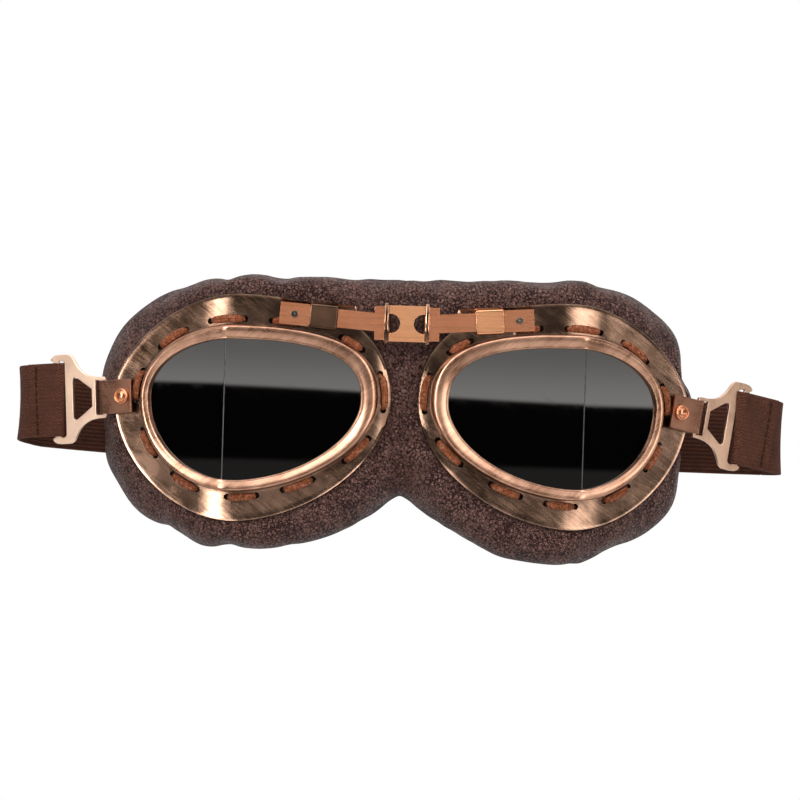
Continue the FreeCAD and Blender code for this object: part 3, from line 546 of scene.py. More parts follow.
class Paint(Nodes):
    """One procedural material under construction."""

    def __init__(self, name):
        self.material = bpy.data.materials.new(name)
        self.material.use_nodes = True
        super().__init__(self.material.node_tree)
        self.shader = self.present("BSDF_PRINCIPLED")
        self.coordinates = self.node("TexCoord")

    def place(self, turn=(0, 0, 0), scale=(1, 1, 1), source="Object"):
        """Coordinates of the piece in millimetres, turned (degrees) and then scaled; UV stays as it is."""
        size = 1.0 / MM if source == "Object" else 1.0
        sockets = {"Vector": self.coordinates.outputs[source],
                   "Rotation": [math.radians(one) for one in turn],
                   "Scale": [1.0 / (size * one) for one in scale]}
        return self.node("Mapping", sockets, vector_type="TEXTURE").outputs["Vector"]

    def along(self, vector, axis):
        found = self.node("SeparateXYZ", {0: vector})
        return Field(self, found.outputs["XYZ".index(axis)])

    def noise(self, vector, scale, detail=3.0, rough=0.55):
        sockets = {"Vector": vector, "Scale": scale, "Detail": detail, "Roughness": rough}
        return Field(self, self.node("TexNoise", sockets).outputs["Fac"])

    def moved(self, vector, amount, scale):
        """The same place shifted about by a soft noise."""
        shift = self.node("TexNoise", {"Vector": vector, "Scale": scale}).outputs["Color"]
        found = self.node("VectorMath", {0: shift, 1: (amount,) * 3, 2: vector}, operation="MULTIPLY_ADD")
        return found.outputs[0]

    def cells(self, vector, scale, feature="DISTANCE_TO_EDGE"):
        found = self.node("TexVoronoi", {"Vector": vector, "Scale": scale}, feature=feature)
        return Field(self, found.outputs["Distance"])

    def mix(self, share, first, second):
        """A colour from first, at 0, to second, at 1."""
        found = self.node("Mix", {0: share, 6: first, 7: second}, data_type="RGBA", clamp_factor=True)
        return Field(self, found.outputs[2])

    def bump(self, height, depth):
        """Raise the surface by a height field; depth in millimetres."""
        found = self.node("Bump", {"Strength": 1.0, "Distance": depth * MM, "Height": height})
        self.feed(self.shader.inputs["Normal"], found.outputs["Normal"])

    def finish(self, colour, rough, **constants):
        self.feed(self.shader.inputs["Base Color"], colour)
        self.feed(self.shader.inputs["Roughness"], rough)
        for key, value in constants.items():
            self.feed(self.shader.inputs[key.replace("_", " ").title().replace("Ior", "IOR")], value)
        return self.material


PAINTS = {}


def paint(name):
    """A material, made the first time that it is asked for."""
    if name not in PAINTS:
        PAINTS[name] = brushed(name, **METALS[name]) if name in METALS else MAKERS[name](name)
    return PAINTS[name]


def brushed(name, bright, dark, share, rough, lean=0.0, scratch=0.0012, contrast=0.1, lines=3.4, run=0.06):
    """Metal with fine streaks of brushing, cloudy patina and specks.

    A colour is given by its numbers or by its name in the colours. share is how much of the bright one
    shows, lean the streaks' angle in degrees, lines how many there are in a millimetre, and run how far
    they are drawn out, where less is longer.
    """
    p = Paint(name)
    bright, dark = (getattr(colours(), one) if isinstance(one, str) else one for one in (bright, dark))
    grain = p.place((0, lean, 0), (run, run, 1.0))
    fine = p.noise(grain, lines, 3.0, 0.65)
    broad = p.noise(grain, 0.5, 3.0, 0.6)
    cloud = p.noise(p.place(), 0.09, 4.0, 0.6)
    dust = p.noise(p.place(), 2.2, 2.0, 0.5).step(0.66, 0.74)
    streaks = fine * 0.6 + broad * 0.4
    worn = (streaks * contrast * 3.0 + cloud * 0.9 - contrast * 1.5).step(0.62 - share, 1.12 - share)
    colour = p.mix(worn, dark, bright)
    colour = p.mix(dust * 0.2, colour, [0.4 * one for one in dark])
    p.bump(streaks, scratch)
    gloss = (streaks - 0.5) * contrast * 0.65 + (cloud - 0.5) * 0.18
    return p.finish(colour, gloss + rough, metallic=1.0)


METALS = {
    "antique_copper": dict(bright=(0.43, 0.265, 0.185), dark="patina", share=0.38, rough=0.20, lean=35,
                           scratch=0.0016, contrast=0.32),
    "bezel_copper": dict(bright=(0.69, 0.395, 0.27), dark=(0.32, 0.16, 0.10), share=0.42, rough=0.30,
                         lean=-40, scratch=0.003, contrast=0.28),
    "bright_copper": dict(bright="copper", dark=(0.36, 0.138, 0.069), share=0.5, rough=0.22,
                          scratch=0.0014, contrast=0.4, lines=1.5, run=0.006),
    "link_copper": dict(bright=(0.93, 0.455, 0.24), dark=(0.58, 0.25, 0.122), share=0.5, rough=0.22,
                        scratch=0.0014, contrast=0.36, lines=1.5, run=0.006),
    # painted shade: copper darker than the link and arms, for the hinge barrels in their gap
    "barrel_copper": dict(bright=(0.40, 0.235, 0.15), dark=(0.16, 0.09, 0.06), share=0.42, rough=0.16,
                          scratch=0.0006),
    "tab_copper": dict(bright=(0.40, 0.20, 0.132), dark=(0.21, 0.097, 0.063), share=0.42, rough=0.28,
                       lean=10, scratch=0.003, contrast=0.12),
    "pale_copper": dict(bright=(0.95, 0.69, 0.53), dark=(0.72, 0.47, 0.34), share=0.6, rough=0.38, lean=5),
    # painted shade: a darker copy of the buckle plating, for the right buckle
    "tan_copper": dict(bright=(0.70, 0.46, 0.335), dark=(0.46, 0.29, 0.205), share=0.5, rough=0.36, lean=86,
                       scratch=0.0008, contrast=0.2, lines=1.6),
    "rubbed_edge": dict(bright=(0.92, 0.62, 0.46), dark=(0.58, 0.32, 0.21), share=0.5, rough=0.24),
    # painted shade: a darker copy of the sleeve copper, for the left sleeve
    "dark_copper": dict(bright=(0.20, 0.112, 0.07), dark=(0.06, 0.033, 0.021), share=0.36, rough=0.2),
    # painted shade: the dark ring of the screw head, standing for the shade in the groove round its crown
    "dark_steel": dict(bright=(0.20, 0.17, 0.15), dark=(0.05, 0.045, 0.04), share=0.4, rough=0.32),
}


def smoke_lens(name):
    p = Paint(name)
    smear = p.noise(p.place((0, 20, 0), (0.4, 1, 1)), 0.25, 4.0, 0.6).step(0.5, 0.8)
    dust = p.noise(p.place(), 3.0, 1.0, 0.5).step(0.73, 0.78)
    colour = p.mix(dust, (0.0012, 0.001, 0.001), (0.012, 0.011, 0.010))
    return p.finish(colour, smear * 0.02 + 0.015, ior=2.2)


def seal_rubber(name):
    p = Paint(name)
    grime = p.noise(p.place(), 1.4, 3.0, 0.6)
    p.bump(grime, 0.05)
    colour = p.mix(grime.step(0.4, 0.75), (0.015, 0.014, 0.014), (0.09, 0.085, 0.08))
    return p.finish(colour, grime * 0.3 + 0.3)


def brown_leather(name):
    """Grained leather: pits, fine cracks, soft folds with painted shade and sheen, a rougher rim darkened by
    painted shade, and a furrow under the nose's middle.
    """
    p = Paint(name)
    flat = p.place()
    shifted = p.moved(flat, 1.3, 0.8)
    cracks = p.cells(shifted, 0.72).step(0.0, 0.16)
    ridges = (p.noise(shifted, 0.75, 2.0, 0.5) - 0.5).maths("ABSOLUTE").step(0.0, 0.04)
    cloud = p.noise(flat, 0.07, 4.0, 0.6)
    folds = p.noise(p.moved(flat, 5.0, 0.07), 0.19, 2.0, 0.5)
    pores = p.noise(flat, 1.35, 3.0, 0.65)
    pits = pores.step(0.36, 0.5)
    glints = pores.step(0.52, 0.64) * cracks
    raised = cracks.least(ridges)
    beside = p.along(flat, "X").maths("ABSOLUTE")
    furrow = (1.0 - beside.step(0.2, 4.5)) * (1.0 - p.along(flat, "Z").step(-24.0, -9.0))
    # The rim share is painted shade: the colour darkens where the leather lies further behind the frame,
    # towards its outer edge, and it is rougher there.
    bent = (beside - BEND_X).most(0.0) * math.tan(BEND) + (1.0 - beside.step(0.0, CURL_X)) * NOSE_SINK
    rim = (p.along(flat, "Y") - bent - FRONT).step(3.5, 10.0)
    p.bump(raised * 0.9 + pits * 0.5 + folds * 4.5 + cloud * 3.0 - furrow * 5.0, 0.5)
    # The folds also set the tone, lighter on their crests and darker in their troughs: painted shade and
    # sheen.
    tone = raised * 0.5 + pits * 0.4 + (folds - 0.5) * 0.8 + (cloud - 0.5) * 0.4 + (pores - 0.5) * 1.1
    colour = p.mix((tone - rim * 0.25).step(0.3, 0.86), colours().crease, colours().leather)
    rough = 0.47 - raised * 0.06 - glints * 0.12 + rim * 0.2
    return p.finish(colour, rough, specular_ior_level=0.22)


def black_foam(name):
    p = Paint(name)
    nap = p.noise(p.place(), 1.3, 5.0, 0.75)
    pits = p.cells(p.moved(p.place(), 0.5, 1.0), 1.1, "F1").step(0.05, 0.45)
    cloud = p.noise(p.place(), 0.12, 3.0, 0.6)
    p.bump(nap * 0.8 + pits * 0.6, 0.45)
    tone = (nap * 0.6 + pits * 0.35 + (cloud - 0.5) * 0.4).step(0.25, 0.95)
    colour = p.mix(tone, (0.007, 0.0065, 0.0065), (0.045, 0.041, 0.040))
    return p.finish(colour, nap * 0.2 + 0.78, specular_ior_level=0.2)


def rust_cord(name):
    p = Paint(name)
    flat = p.place(source="UV")
    across = p.along(flat, "X")
    along = p.along(flat, "Y")
    ways = (along - across * 1.1, along + across * 1.1)
    braid = (ways[1].wave(1.5) * ways[0].wave(1.5)) * 0.5 + 0.5
    over = braid.step(0.4, 0.6)
    strands = (ways[0].wave(0.3) * 0.5 + 0.5) * over + (ways[1].wave(0.3) * 0.5 + 0.5) * (1.0 - over)
    fuzz = p.noise(p.place(), 1.15, 5.0, 0.75)
    p.bump(braid * 0.5 + strands * 0.3 + fuzz * 1.0, 0.4)
    tone = (braid * 0.25 + strands * 0.2 + fuzz * 1.5).step(0.62, 1.28)
    colour = p.mix(tone, [0.14 * one for one in colours().cord], colours().cord)
    colour = p.mix(fuzz.step(0.5, 0.66) * 0.55, colour, [one * 0.6 + 0.22 for one in colours().cord])
    return p.finish(colour, fuzz * 0.2 + 0.7, specular_ior_level=0.25)


def woven(name, ribbed):
    """Elastic webbing: fine twill on the face, and cords along the strap where it is ribbed."""
    p = Paint(name)
    flat = p.place(source="UV")
    across = p.along(flat, "X")
    along = p.along(flat, "Y")
    ribs = across.wave(1.35) * 0.5 + 0.5
    twill = (across + along * 0.8).wave(1.1) * 0.25 + (across - along * 0.7).wave(0.9) * 0.25 + 0.5
    weave = ribs * ribbed + twill * (1.0 - ribbed)
    fuzz = p.noise(p.place(), 1.5, 5.0, 0.8)
    wear = p.noise(p.place(), 0.16, 4.0, 0.6)
    p.bump(weave * 0.7 + fuzz * 0.9, 0.35)
    tone = (weave * 0.45 + fuzz * 1.1 + (wear - 0.5) * 0.4).step(0.45, 1.1)
    colour = p.mix(tone, [0.3 * one for one in colours().elastic], colours().elastic)
    return p.finish(colour, fuzz * 0.2 + 0.7, specular_ior_level=0.2)


def thread(name):
    p = Paint(name)
    fuzz = p.noise(p.place(), 4.0, 3.0, 0.6)
    p.bump(fuzz, 0.1)
    colour = p.mix(fuzz, (0.016, 0.006, 0.004), (0.045, 0.017, 0.011))
    return p.finish(colour, fuzz * 0.2 + 0.75, specular_ior_level=0.1)


MAKERS = {
    "smoke_lens": smoke_lens, "seal_rubber": seal_rubber, "brown_leather": brown_leather,
    "black_foam": black_foam, "rust_cord": rust_cord, "thread": thread,
    "brown_elastic": functools.partial(woven, ribbed=0.2),
    "ribbed_elastic": functools.partial(woven, ribbed=0.8),
}


# Frames

def flange_directions():
    """Directions round the flange, with the ear's corners among them."""
    found = turns(300)
    for x, z in EAR[:1] + EAR[3:]:
        found.append(math.atan2(z - EYE_Z, x - EYE_X) % (2 * math.pi))
    return sorted(found)


def flange_profile(turn):
    """Section of the flange from its inner edge round the outer lip and back: (reach, depth)."""
    inner = window_at(turn, 1.2)
    root = bezel_at(turn)
    outer = flange_at(turn)
    dish = sizes().dish
    run = outer - root
    front = [(inner, 0.0), (root, 0.0)]
    for share in (0.15, 0.3, 0.45, 0.6, 0.75, 0.88):
        front.append((root + run * share, -dish * share))
    lip = [(outer - 0.45, -dish * 0.97 - 0.05), (outer - 0.2, -dish - 0.12), (outer, -dish + 0.1),
           (outer + 0.04, -dish + 0.45), (outer - 0.12, -dish + 0.8), (outer - 0.4, -dish + 0.95)]
    back = [(root + run * 0.6, SHEET_THICK - dish * 0.6), (root, SHEET_THICK), (inner, SHEET_THICK)]
    return front + lip + back


def rings_from(profile, directions, depth=depth_at):
    """Rings of points for lofting, from a section that depends on the direction."""
    sections = [profile(turn) for turn in directions]
    return [[on_frame(turn, *section[number], depth) for turn, section in zip(directions, sections)]
            for number in range(len(sections[0]))]


def frame_normal(x):
    """Straight out of the front of the flange."""
    rise = (flange_depth(x + 0.01) - flange_depth(x - 0.01)) / 0.02
    return Vector((rise, -1.0, 0.0)).normalized()


def lace_hole(degrees, ahead):
    """A point on the line of the lacing holes, this far ahead of the sheet."""
    turn = math.radians(degrees)
    point = on_frame(turn, lace_at(turn), 0.0, flange_depth)
    return point + frame_normal(point.x) * ahead


class GOGGLES_OT_frames(bpy.types.Operator):
    """Bent sheet frames with their lacing holes, and the bezels in front of them"""
    bl_idname = "goggles.frames"
    bl_label = "Frames and bezels"

    def execute(self, context):
        for side_name, side in SIDES.items():
            sheet = rings_from(flange_profile, flange_directions(), flange_depth)
            flange = lofted(f"{side_name}_flange_plate", sheet, side, closed=True)
            drills = [self.drill(degrees, side) for pair in STITCHES for degrees in pair]
            drill = joined("drill", drills)
            with_modifier(flange, "BOOLEAN", operation="DIFFERENCE", object=drill, solver="EXACT")
            bpy.data.objects.remove(drill)
            shaded(flange, 40.0)
            dressed(flange, [paint("antique_copper")], "antique_copper", f"{side_name}_frame",
                    f"{side_name}_frame_flange")
            rolled = rings_from(self.bezel_profile, turns(240))
            bezel = lofted(f"{side_name}_bezel_rim", rolled, side, closed=True)
            smoothed(bezel)
            shaded(bezel, 60.0)
            dressed(bezel, [paint("bezel_copper")], "antique_copper", f"{side_name}_frame",
                    f"{side_name}_lens_bezel")
        return {"FINISHED"}

    @staticmethod
    def drill(degrees, side):
        """A short bar that cuts one lacing hole."""
        clear_selection()
        middle = lace_hole(degrees, 0.0)
        normal = placed(frame_normal(middle.x), side)
        turn = Vector((0, 0, 1)).rotation_difference(normal).to_euler()
        bpy.ops.mesh.primitive_cylinder_add(vertices=20, radius=HOLE_RADIUS * MM, depth=HOLE_DEPTH * MM,
                                            location=placed(middle, side), rotation=turn)
        return bpy.context.object

    @staticmethod
    def bezel_profile(turn):
        """Rolled section from the hidden inner wall over the face to the foot outside: (reach, depth)."""
        inner = window_at(turn)
        rim = bezel_at(turn) - inner
        high = sizes().bezel_height
        section = [
            (0.05, 0.3), (0.0, 1.6), (0.0, 3.1), (0.01, 3.65), (0.04, 3.95), (0.09, 4.05), (0.14, 4.0),
            (0.2, 4.12), (0.36, 4.5), (0.54, 4.82), (0.7, 4.98), (0.82, 4.95), (0.91, 4.6), (0.97, 3.9),
            (1.0, 2.8), (1.0, 1.2), (1.02, 0.2), (1.04, -0.7), (0.6, -0.75)]
        return [(inner + share * rim, -up * high / 5.0) for share, up in section]


class GOGGLES_OT_lenses(bpy.types.Operator):
    """Flat smoke panes, two for each frame"""
    bl_idname = "goggles.lenses"
    bl_label = "Lenses"

    def execute(self, context):
        for side_name, side in SIDES.items():
            for pane, way in (("front", -1), ("side", 1)):
                self.pane(f"{side_name}_{pane}", side, way)
        for side_name in SIDES:
            for node in ("lens_seal", "lens_gasket"):
                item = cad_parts[f"{side_name}_{node}"]
                item.data.materials.clear()
                item.data.materials.append(paint("seal_rubber"))
        return {"FINISHED"}

    @staticmethod
    def pane_outline(way):
        """X and Z of a pane's outline, from one end of the seam round to the other."""
        edge = BEND_X + way * SEAM_HALF

        def point(turn):
            reach = window_at(turn, PANE_LIP)
            return EYE_X + reach * math.cos(turn), EYE_Z + reach * math.sin(turn)

        def seam_end(temple, nose):
            """The direction between two where the outline meets the seam."""
            for _ in range(40):
                middle = (temple + nose) / 2
                temple, nose = (middle, nose) if point(middle)[0] > edge else (temple, middle)
            return temple

        top = seam_end(0.0, math.pi)
        bottom = seam_end(2 * math.pi, math.pi)
        first, last = (bottom - 2 * math.pi, top) if way > 0 else (top, bottom)
        count = 90 if way > 0 else 130
        return [point(first + (last - first) * step / count) for step in range(count + 1)]

    def pane(self, name, side, way):
        """One flat pane: its outline filled, then thickened to the back."""
        slope = math.tan(BEND) if way > 0 else 0.0
        front = FRONT - PANE_AHEAD
        ring = [Vector((x, front + max(x - BEND_X, 0.0) * slope, z)) for x, z in self.pane_outline(way)]
        clear_selection()
        bpy.ops.mesh.primitive_circle_add(vertices=len(ring), radius=0.01, fill_type="NGON")
        piece = bpy.context.object
        piece.name = name + "_pane"
        for vert, point in zip(piece.data.vertices, ring):
            vert.co = placed(point, side)
        with editing(piece) as mesh:
            mesh.normal_update()
            mesh.faces.ensure_lookup_table()
            if mesh.faces[0].normal.y > 0:
                bpy.ops.mesh.flip_normals()
        with_modifier(piece, "SOLIDIFY", thickness=PANE_THICK * MM, offset=-1.0)
        shaded(piece, 20.0)
        dressed(piece, [paint("smoke_lens")], "smoke_lens", f"{name.split('_')[0]}_frame", f"{name}_lens")


class GOGGLES_OT_lacing(bpy.types.Operator):
    """Braided lacing stitches through the frames"""
    bl_idname = "goggles.lacing"
    bl_label = "Lacing"

    def execute(self, context):
        for side_name, side in SIDES.items():
            stitches = [self.stitch(first, second, side) for first, second in STITCHES]
            whole = joined(f"{side_name}_lacing", stitches)
            shaded(whole, 60.0)
            dressed(whole, [paint("rust_cord")], "rust_cord", f"{side_name}_frame",
                    f"{side_name}_lacing_cord")
        return {"FINISHED"}

    @staticmethod
    def stitch(first, second, side):
        """One flattened run from hole to hole, dipping into both."""
        steps, around = 18, 14
        top = STITCH_TOP + sizes().dish * 0.2
        inset = math.degrees(STITCH_INSET / lace_at(math.radians(first)))
        route = []
        for step in range(steps + 1):
            share = step / steps
            dip = min(min(share, 1 - share) / 0.14, 1.0)
            ahead = STITCH_BOTTOM + (top - STITCH_BOTTOM) * math.sin(dip * math.pi / 2)
            along = clamped((share - 0.05) / 0.9)
            route.append(lace_hole(first + inset + (second - first - 2 * inset) * along, ahead))
        rings = []
        lengths = []
        far = 0.0
        for number, point in enumerate(route):
            before = route[max(number - 1, 0)]
            after = route[min(number + 1, steps)]
            way = (after - before).normalized()
            across = way.cross(frame_normal(point.x)).normalized()
            up = across.cross(way).normalized()
            far += (point - before).length
            lengths.append(far)
            share = number / steps
            slim = 0.62 + 0.38 * min(min(share, 1 - share) / 0.22, 1.0)
            wide = sizes().cord / 2 * slim
            rings.append([point + across * (wide * math.cos(turn)) + up * (STITCH_HALF_HIGH * math.sin(turn))
                          for turn in turns(around)])
        piece = lofted("stitch", rings, side)
        wrapped(piece, around, sizes().cord * 2.6, lengths)
        return piece


def wrapped(piece, around, girth, lengths):
    """UV in millimetres for a loft: across its girth and along its length."""
    data = piece.data
    layer = data.uv_layers[0] if data.uv_layers else data.uv_layers.new(name="UVMap")
    rings = [one.value for one in data.attributes["ring"].data]
    steps = [one.value for one in data.attributes["step"].data]
    for face in data.polygons:
        across = [steps[one] for one in face.vertices]
        over = max(across) - min(across) > 1
        for loop, vert, step in zip(face.loop_indices, face.vertices, across):
            turn = step + (around if over and step == 0 else 0)
            layer.data[loop].uv = (turn / around * girth, lengths[rings[vert]])


# Leather

# Settings of the cloth, the frames that it runs, and how far the leather may move
CLOTH = {
    "quality": 6, "mass": 0.2, "tension_stiffness": 20, "compression_stiffness": 20, "shear_stiffness": 8,
    "bending_stiffness": 4.0, "use_pressure": True, "uniform_pressure_force": 4.0,
    "vertex_group_mass": "held",
}
CLOTH_FRAMES, PUFF_LIMIT = 20, 3.2


class GOGGLES_OT_leather(bpy.types.Operator):
    """Gathered leather round both frames and over the nose, and the foam behind it"""
    bl_idname = "goggles.leather"
    bl_label = "Leather and foam"

    def execute(self, context):
        for side_name, side in SIDES.items():
            self.cover(side_name, side)
            rings = rings_from(self.foam_profile, turns(200))
            foam = lofted(f"{side_name}_foam_ring", rings, side, closed=True)
            smoothed(foam)
            shaded(foam, 60.0)
            dressed(foam, [paint("black_foam")], "black_foam", None, f"{side_name}_face_foam")
            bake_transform(foam)
        return {"FINISHED"}

    @staticmethod
    def pad_profile(turn, side):
        """Section of the pad from under the flange round the outside to the eye hollow: (reach, depth)."""
        lace = lace_at(turn)
        edge = flange_at(turn)
        rim = max(pad_at(turn, side), edge + 1.5)
        hollow = window_at(turn, 1.4)
        ripple = 0.6 * math.sin(5 * turn + 0.6 * side) + 0.5 * math.sin(8 * turn + 2.1)
        ripple = (ripple + 0.3 * math.sin(13 * turn)) * from_nose(turn)
        rim += 0.8 * ripple
        margin = rim - edge
        under = 1.3 - sizes().dish
        return [
            (lace - 0.6, 3.6), (lace + 1.4, 2.9), (edge - 2.2, 1.7), (edge - 0.5, under + 0.3),
            (edge + 0.14 * margin, under + 0.5), (edge + 0.36 * margin, under + 0.1 + 0.4 * ripple),
            (edge + 0.6 * margin, under + 0.7 + 0.4 * ripple),
            (edge + 0.8 * margin, under + 2.4), (edge + 0.94 * margin, 5.4), (rim, 9.4), (rim + 0.3, 13.4),
            (rim - 0.5, 17.0), (rim - 2.2, 19.3), (rim - 6.0, 20.0), (hollow + 5.0, 20.0),
            (hollow + 1.0, 19.0), (hollow, 14.0), (hollow, 7.0),
        ]

    @staticmethod
    def foam_profile(turn):
        """Section of the rounded foam ring: (reach, depth)."""
        hollow = window_at(turn, 1.2)
        width = foam_at(turn) - hollow
        small, large = min(1.2, 0.25 * width), min(4.0, 0.45 * width)
        return [(hollow, 19.0), (hollow, 23.4), (hollow + small, 25.3), (hollow + large, 26.0),
                (hollow + width - large, 26.0), (hollow + width - small, 25.2), (hollow + width, 23.0),
                (hollow + width, 20.2), (hollow + width - small, 19.0)]

    @staticmethod
    def cut_at(piece, side, place, clear):
        """Cut across a piece at a distance from the middle, and take off the middle if asked to."""
        with editing(piece):
            bpy.ops.mesh.bisect(plane_co=(side * place * MM, 0, 0), plane_no=(side, 0, 0), clear_inner=clear)

    @staticmethod
    def gathered(piece):
        """Puff the leather out by simulation: it is cut larger than the pad and held at its hidden edges."""
        rest = [vert.co.copy() for vert in piece.data.vertices]
        held = piece.vertex_groups.new(name="held")
        for vert in piece.data.vertices:
            x, turn, reach = around_eye(vert.co)
            behind = vert.co.y / MM - FRONT - leather_depth(x)
            inside = clamped((flange_at(turn) + 0.4 - reach) / 1.2)
            rear = clamped((behind - 17.5) / 2.5)
            middle = clamped((7.0 - x) / 6.0)
            held.add([vert.index], max(inside, rear, middle), "REPLACE")
        choose(piece)
        cloth = piece.modifiers.new("Cloth", "CLOTH")
        for key, value in CLOTH.items():
            setattr(cloth.settings, key, value)
        cloth.settings.shrink_min = -sizes().gather
        cloth.settings.effector_weights.gravity = 0.0
        cloth.collision_settings.use_collision = False
        cloth.point_cache.frame_start, cloth.point_cache.frame_end = 1, CLOTH_FRAMES
        for number in range(1, CLOTH_FRAMES + 1):
            bpy.context.scene.frame_set(number)
        bpy.ops.object.modifier_apply(modifier=cloth.name)
        bpy.context.scene.frame_set(1)
        for vert, start in zip(piece.data.vertices, rest):
            moved = vert.co - start
            if moved.length > PUFF_LIMIT * MM:
                moved = moved * (PUFF_LIMIT * MM / moved.length)
            vert.co = start + moved
            x, turn, reach = around_eye(vert.co)
            if flange_at(turn) + 1.2 > reach and start.y < (FRONT + depth_at(x) + 8.0) * MM:
                vert.co.y = max(vert.co.y, (FRONT + flange_depth(x) + 1.25 - sizes().dish) * MM)
        with_modifier(piece, "SMOOTH", factor=0.5, iterations=5, vertex_group="held",
                      invert_vertex_group=True)

    def cover(self, side_name, side):
        """One pad's leather: gathered, its notch rounded, and cut in two beside the nose."""
        section = functools.partial(self.pad_profile, side=side)
        rings = rings_from(section, turns(260), leather_depth)
        pad = lofted(f"{side_name}_leather", rings, side, closed=True)
        self.cut_at(pad, side, 0.0, True)
        self.gathered(pad)
        smoothed(pad)
        for vert in pad.data.vertices:
            low = clamped((NOTCH_TOP - vert.co.z / MM) / NOTCH_FADE)
            vert.co.z -= NOTCH_ROUND * low * math.exp(-abs(vert.co.x) / MM / NOTCH_ROUND) * MM
        self.cut_at(pad, side, PAD_SPLIT, False)
        shaded(pad, 180.0)
        nose = duplicate(pad, f"{side_name}_nose_leather")
        for piece, way in ((pad, 1), (nose, -1)):
            normals = piece.data.attributes.new("whole_normal", "FLOAT_VECTOR", "POINT")
            for vert in piece.data.vertices:
                normals.data[vert.index].vector = vert.normal
            with editing(piece, "DESELECT") as mesh:
                for face in mesh.faces:
                    face.select_set((abs(face.calc_center_median().x) / MM - PAD_SPLIT) * way < 0)
                bpy.ops.mesh.delete(type="FACE")
            kept = [one.vector.copy() for one in piece.data.attributes["whole_normal"].data]
            piece.data.normals_split_custom_set_from_vertices(kept)
            piece.data.attributes.remove(piece.data.attributes["whole_normal"])
            dressed(piece, [paint("brown_leather")], "brown_leather", None)
        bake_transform(pad)
        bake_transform(nose)
        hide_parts(f"{side_name}_pad_cover")
        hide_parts("nose_pad")


# Bridge and strap fittings

class GOGGLES_OT_bridge(bpy.types.Operator):
    """Link, arms, sleeves, pins and screws of the nose bridge"""
    bl_idname = "goggles.bridge"
    bl_label = "Nose bridge"

    def execute(self, context):
        hardware("bridge_link", "bridge", "link_copper", 0.3, 3)
        for side_name, side in SIDES.items():
            hardware(f"{side_name}_bridge_arm", f"{side_name}_arm", "bright_copper", 0.28, 3)
            self.sleeve(side_name)
            self.screw(side_name, side)
            self.pin(side_name, side)
        return {"FINISHED"}

    @staticmethod
    def sleeve(side_name):
        """A sleeve whose outer edges are rolled over; the mouth for the arm stays sharp."""
        node = f"{side_name}_bridge_sleeve"
        piece = solid_copy(node, node + "_piece")
        middle = sum((Vector(one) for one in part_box(node)), Vector()) / 2
        away = [(vert.co - middle).length for vert in piece.data.vertices]
        corner = sorted(away)[-8]
        weights = piece.data.attributes.new("bevel_weight_edge", "FLOAT", "EDGE")
        for edge, weight in zip(piece.data.edges, weights.data):
            weight.value = float(all(away[one] >= corner for one in edge.vertices))
        bevelled(piece, 0.72, 4, "WEIGHT")
        # The left sleeve takes a darker copy of the right one's copper: painted shade.
        finish = "dark_copper" if side_name == "left" else "link_copper"
        dressed(piece, [paint(finish), paint("pale_copper")], SLOTS["bridge_sleeve"],
                f"{side_name}_frame", node)

    @staticmethod
    def screw(side_name, side):
        """A stop screw: a head painted dark for the shade of its groove, with a bright crown in it."""
        node = f"{side_name}_stop_screw"
        middle, low, high = middle_of(node)
        middle.y = low.y
        foot = low.y - high.y
        section = [(0.9, foot), (1.2, foot + 0.1), (1.2, -0.3), (1.12, -0.08), (0.95, 0.0), (0.82, -0.1),
                   (0.78, -0.4), (0.62, -0.4), (0.55, -0.12), (0.3, 0.04), (0.05, 0.08)]
        piece = turned(f"{side_name}_screw_head", middle, Vector((0, -1, 0)), section, side, 0.6)
        dressed(piece, [paint("dark_steel"), paint("pale_copper")], "dark_steel", f"{side_name}_arm", node)

    @staticmethod
    def pin(side_name, side):
        """A hinge: a rolled barrel, flush with the link, and the pin's two small heads."""
        node = f"{side_name}_hinge_pin"
        middle, low, high = middle_of(node)
        half = (high.z - low.z) / 2
        section = [(0.2, half + 0.4), (0.7, half + 0.3), (0.95, half), (0.95, half - 0.45),
                   (1.35, half - 0.55), (1.5, half - 0.75)]
        section += [(radius, -up) for radius, up in reversed(section)]
        piece = turned(f"{side_name}_hinge_barrel", middle, Vector((0, 0, 1)), section, side)
        # The barrel's copper is darker than the link's: painted shade of the hinge gap.
        dressed(piece, [paint("barrel_copper")], "bright_copper", "bridge", node)


SLOTS = {"bridge_link": "bright_copper", "bridge_arm": "bright_copper", "bridge_sleeve": "bright_copper",
         "strap_tab": "antique_copper", "strap_slider": "buckle_copper"}


def hardware(node, body, finish, width, segments=2):
    """A machined or stamped piece: its solid with broken edges, rubbed bright."""
    piece = bevelled(solid_copy(node, node + "_piece"), width, segments)
    plain = node.replace("left_", "").replace("right_", "")
    return dressed(piece, [paint(finish), paint("rubbed_edge")], SLOTS[plain], body, node)


# The rivet, the tab's fold from it (along the side, behind it), and each strap's hang in degrees
RIVET = Vector((93.0, FRONT + 33.0 * math.tan(BEND), 2.5))
FOLD = (7.9, -1.9)
DROOP = {"left": 4.0, "right": 10.0}
# Upper halves of the buckle's outline and of its openings: along the strap from the fold, and up
BUCKLE_OUTLINE = [
    (-0.6, 6.2), (-0.4, 6.8), (0.2, 7.0), (3.0, 7.1), (5.5, 7.5), (7.4, 8.2), (8.9, 9.2), (10.2, 10.6),
    (11.2, 12.2), (12.0, 13.6), (12.8, 14.6), (13.9, 15.2), (17.6, 15.3), (19.4, 15.1), (20.6, 14.5),
    (21.2, 13.7), (21.0, 13.2), (20.2, 13.0), (19.9, 12.0)]
BUCKLE_OPENINGS = (
    [(0.6, 5.9), (3.4, 5.9)],
    [(5.0, 3.0), (10.9, 7.1), (11.8, 7.3), (12.4, 7.0), (12.6, 6.4)],
    [(15.6, 11.9), (15.75, 12.5), (16.2, 12.95), (16.8, 13.1), (18.0, 13.1)])


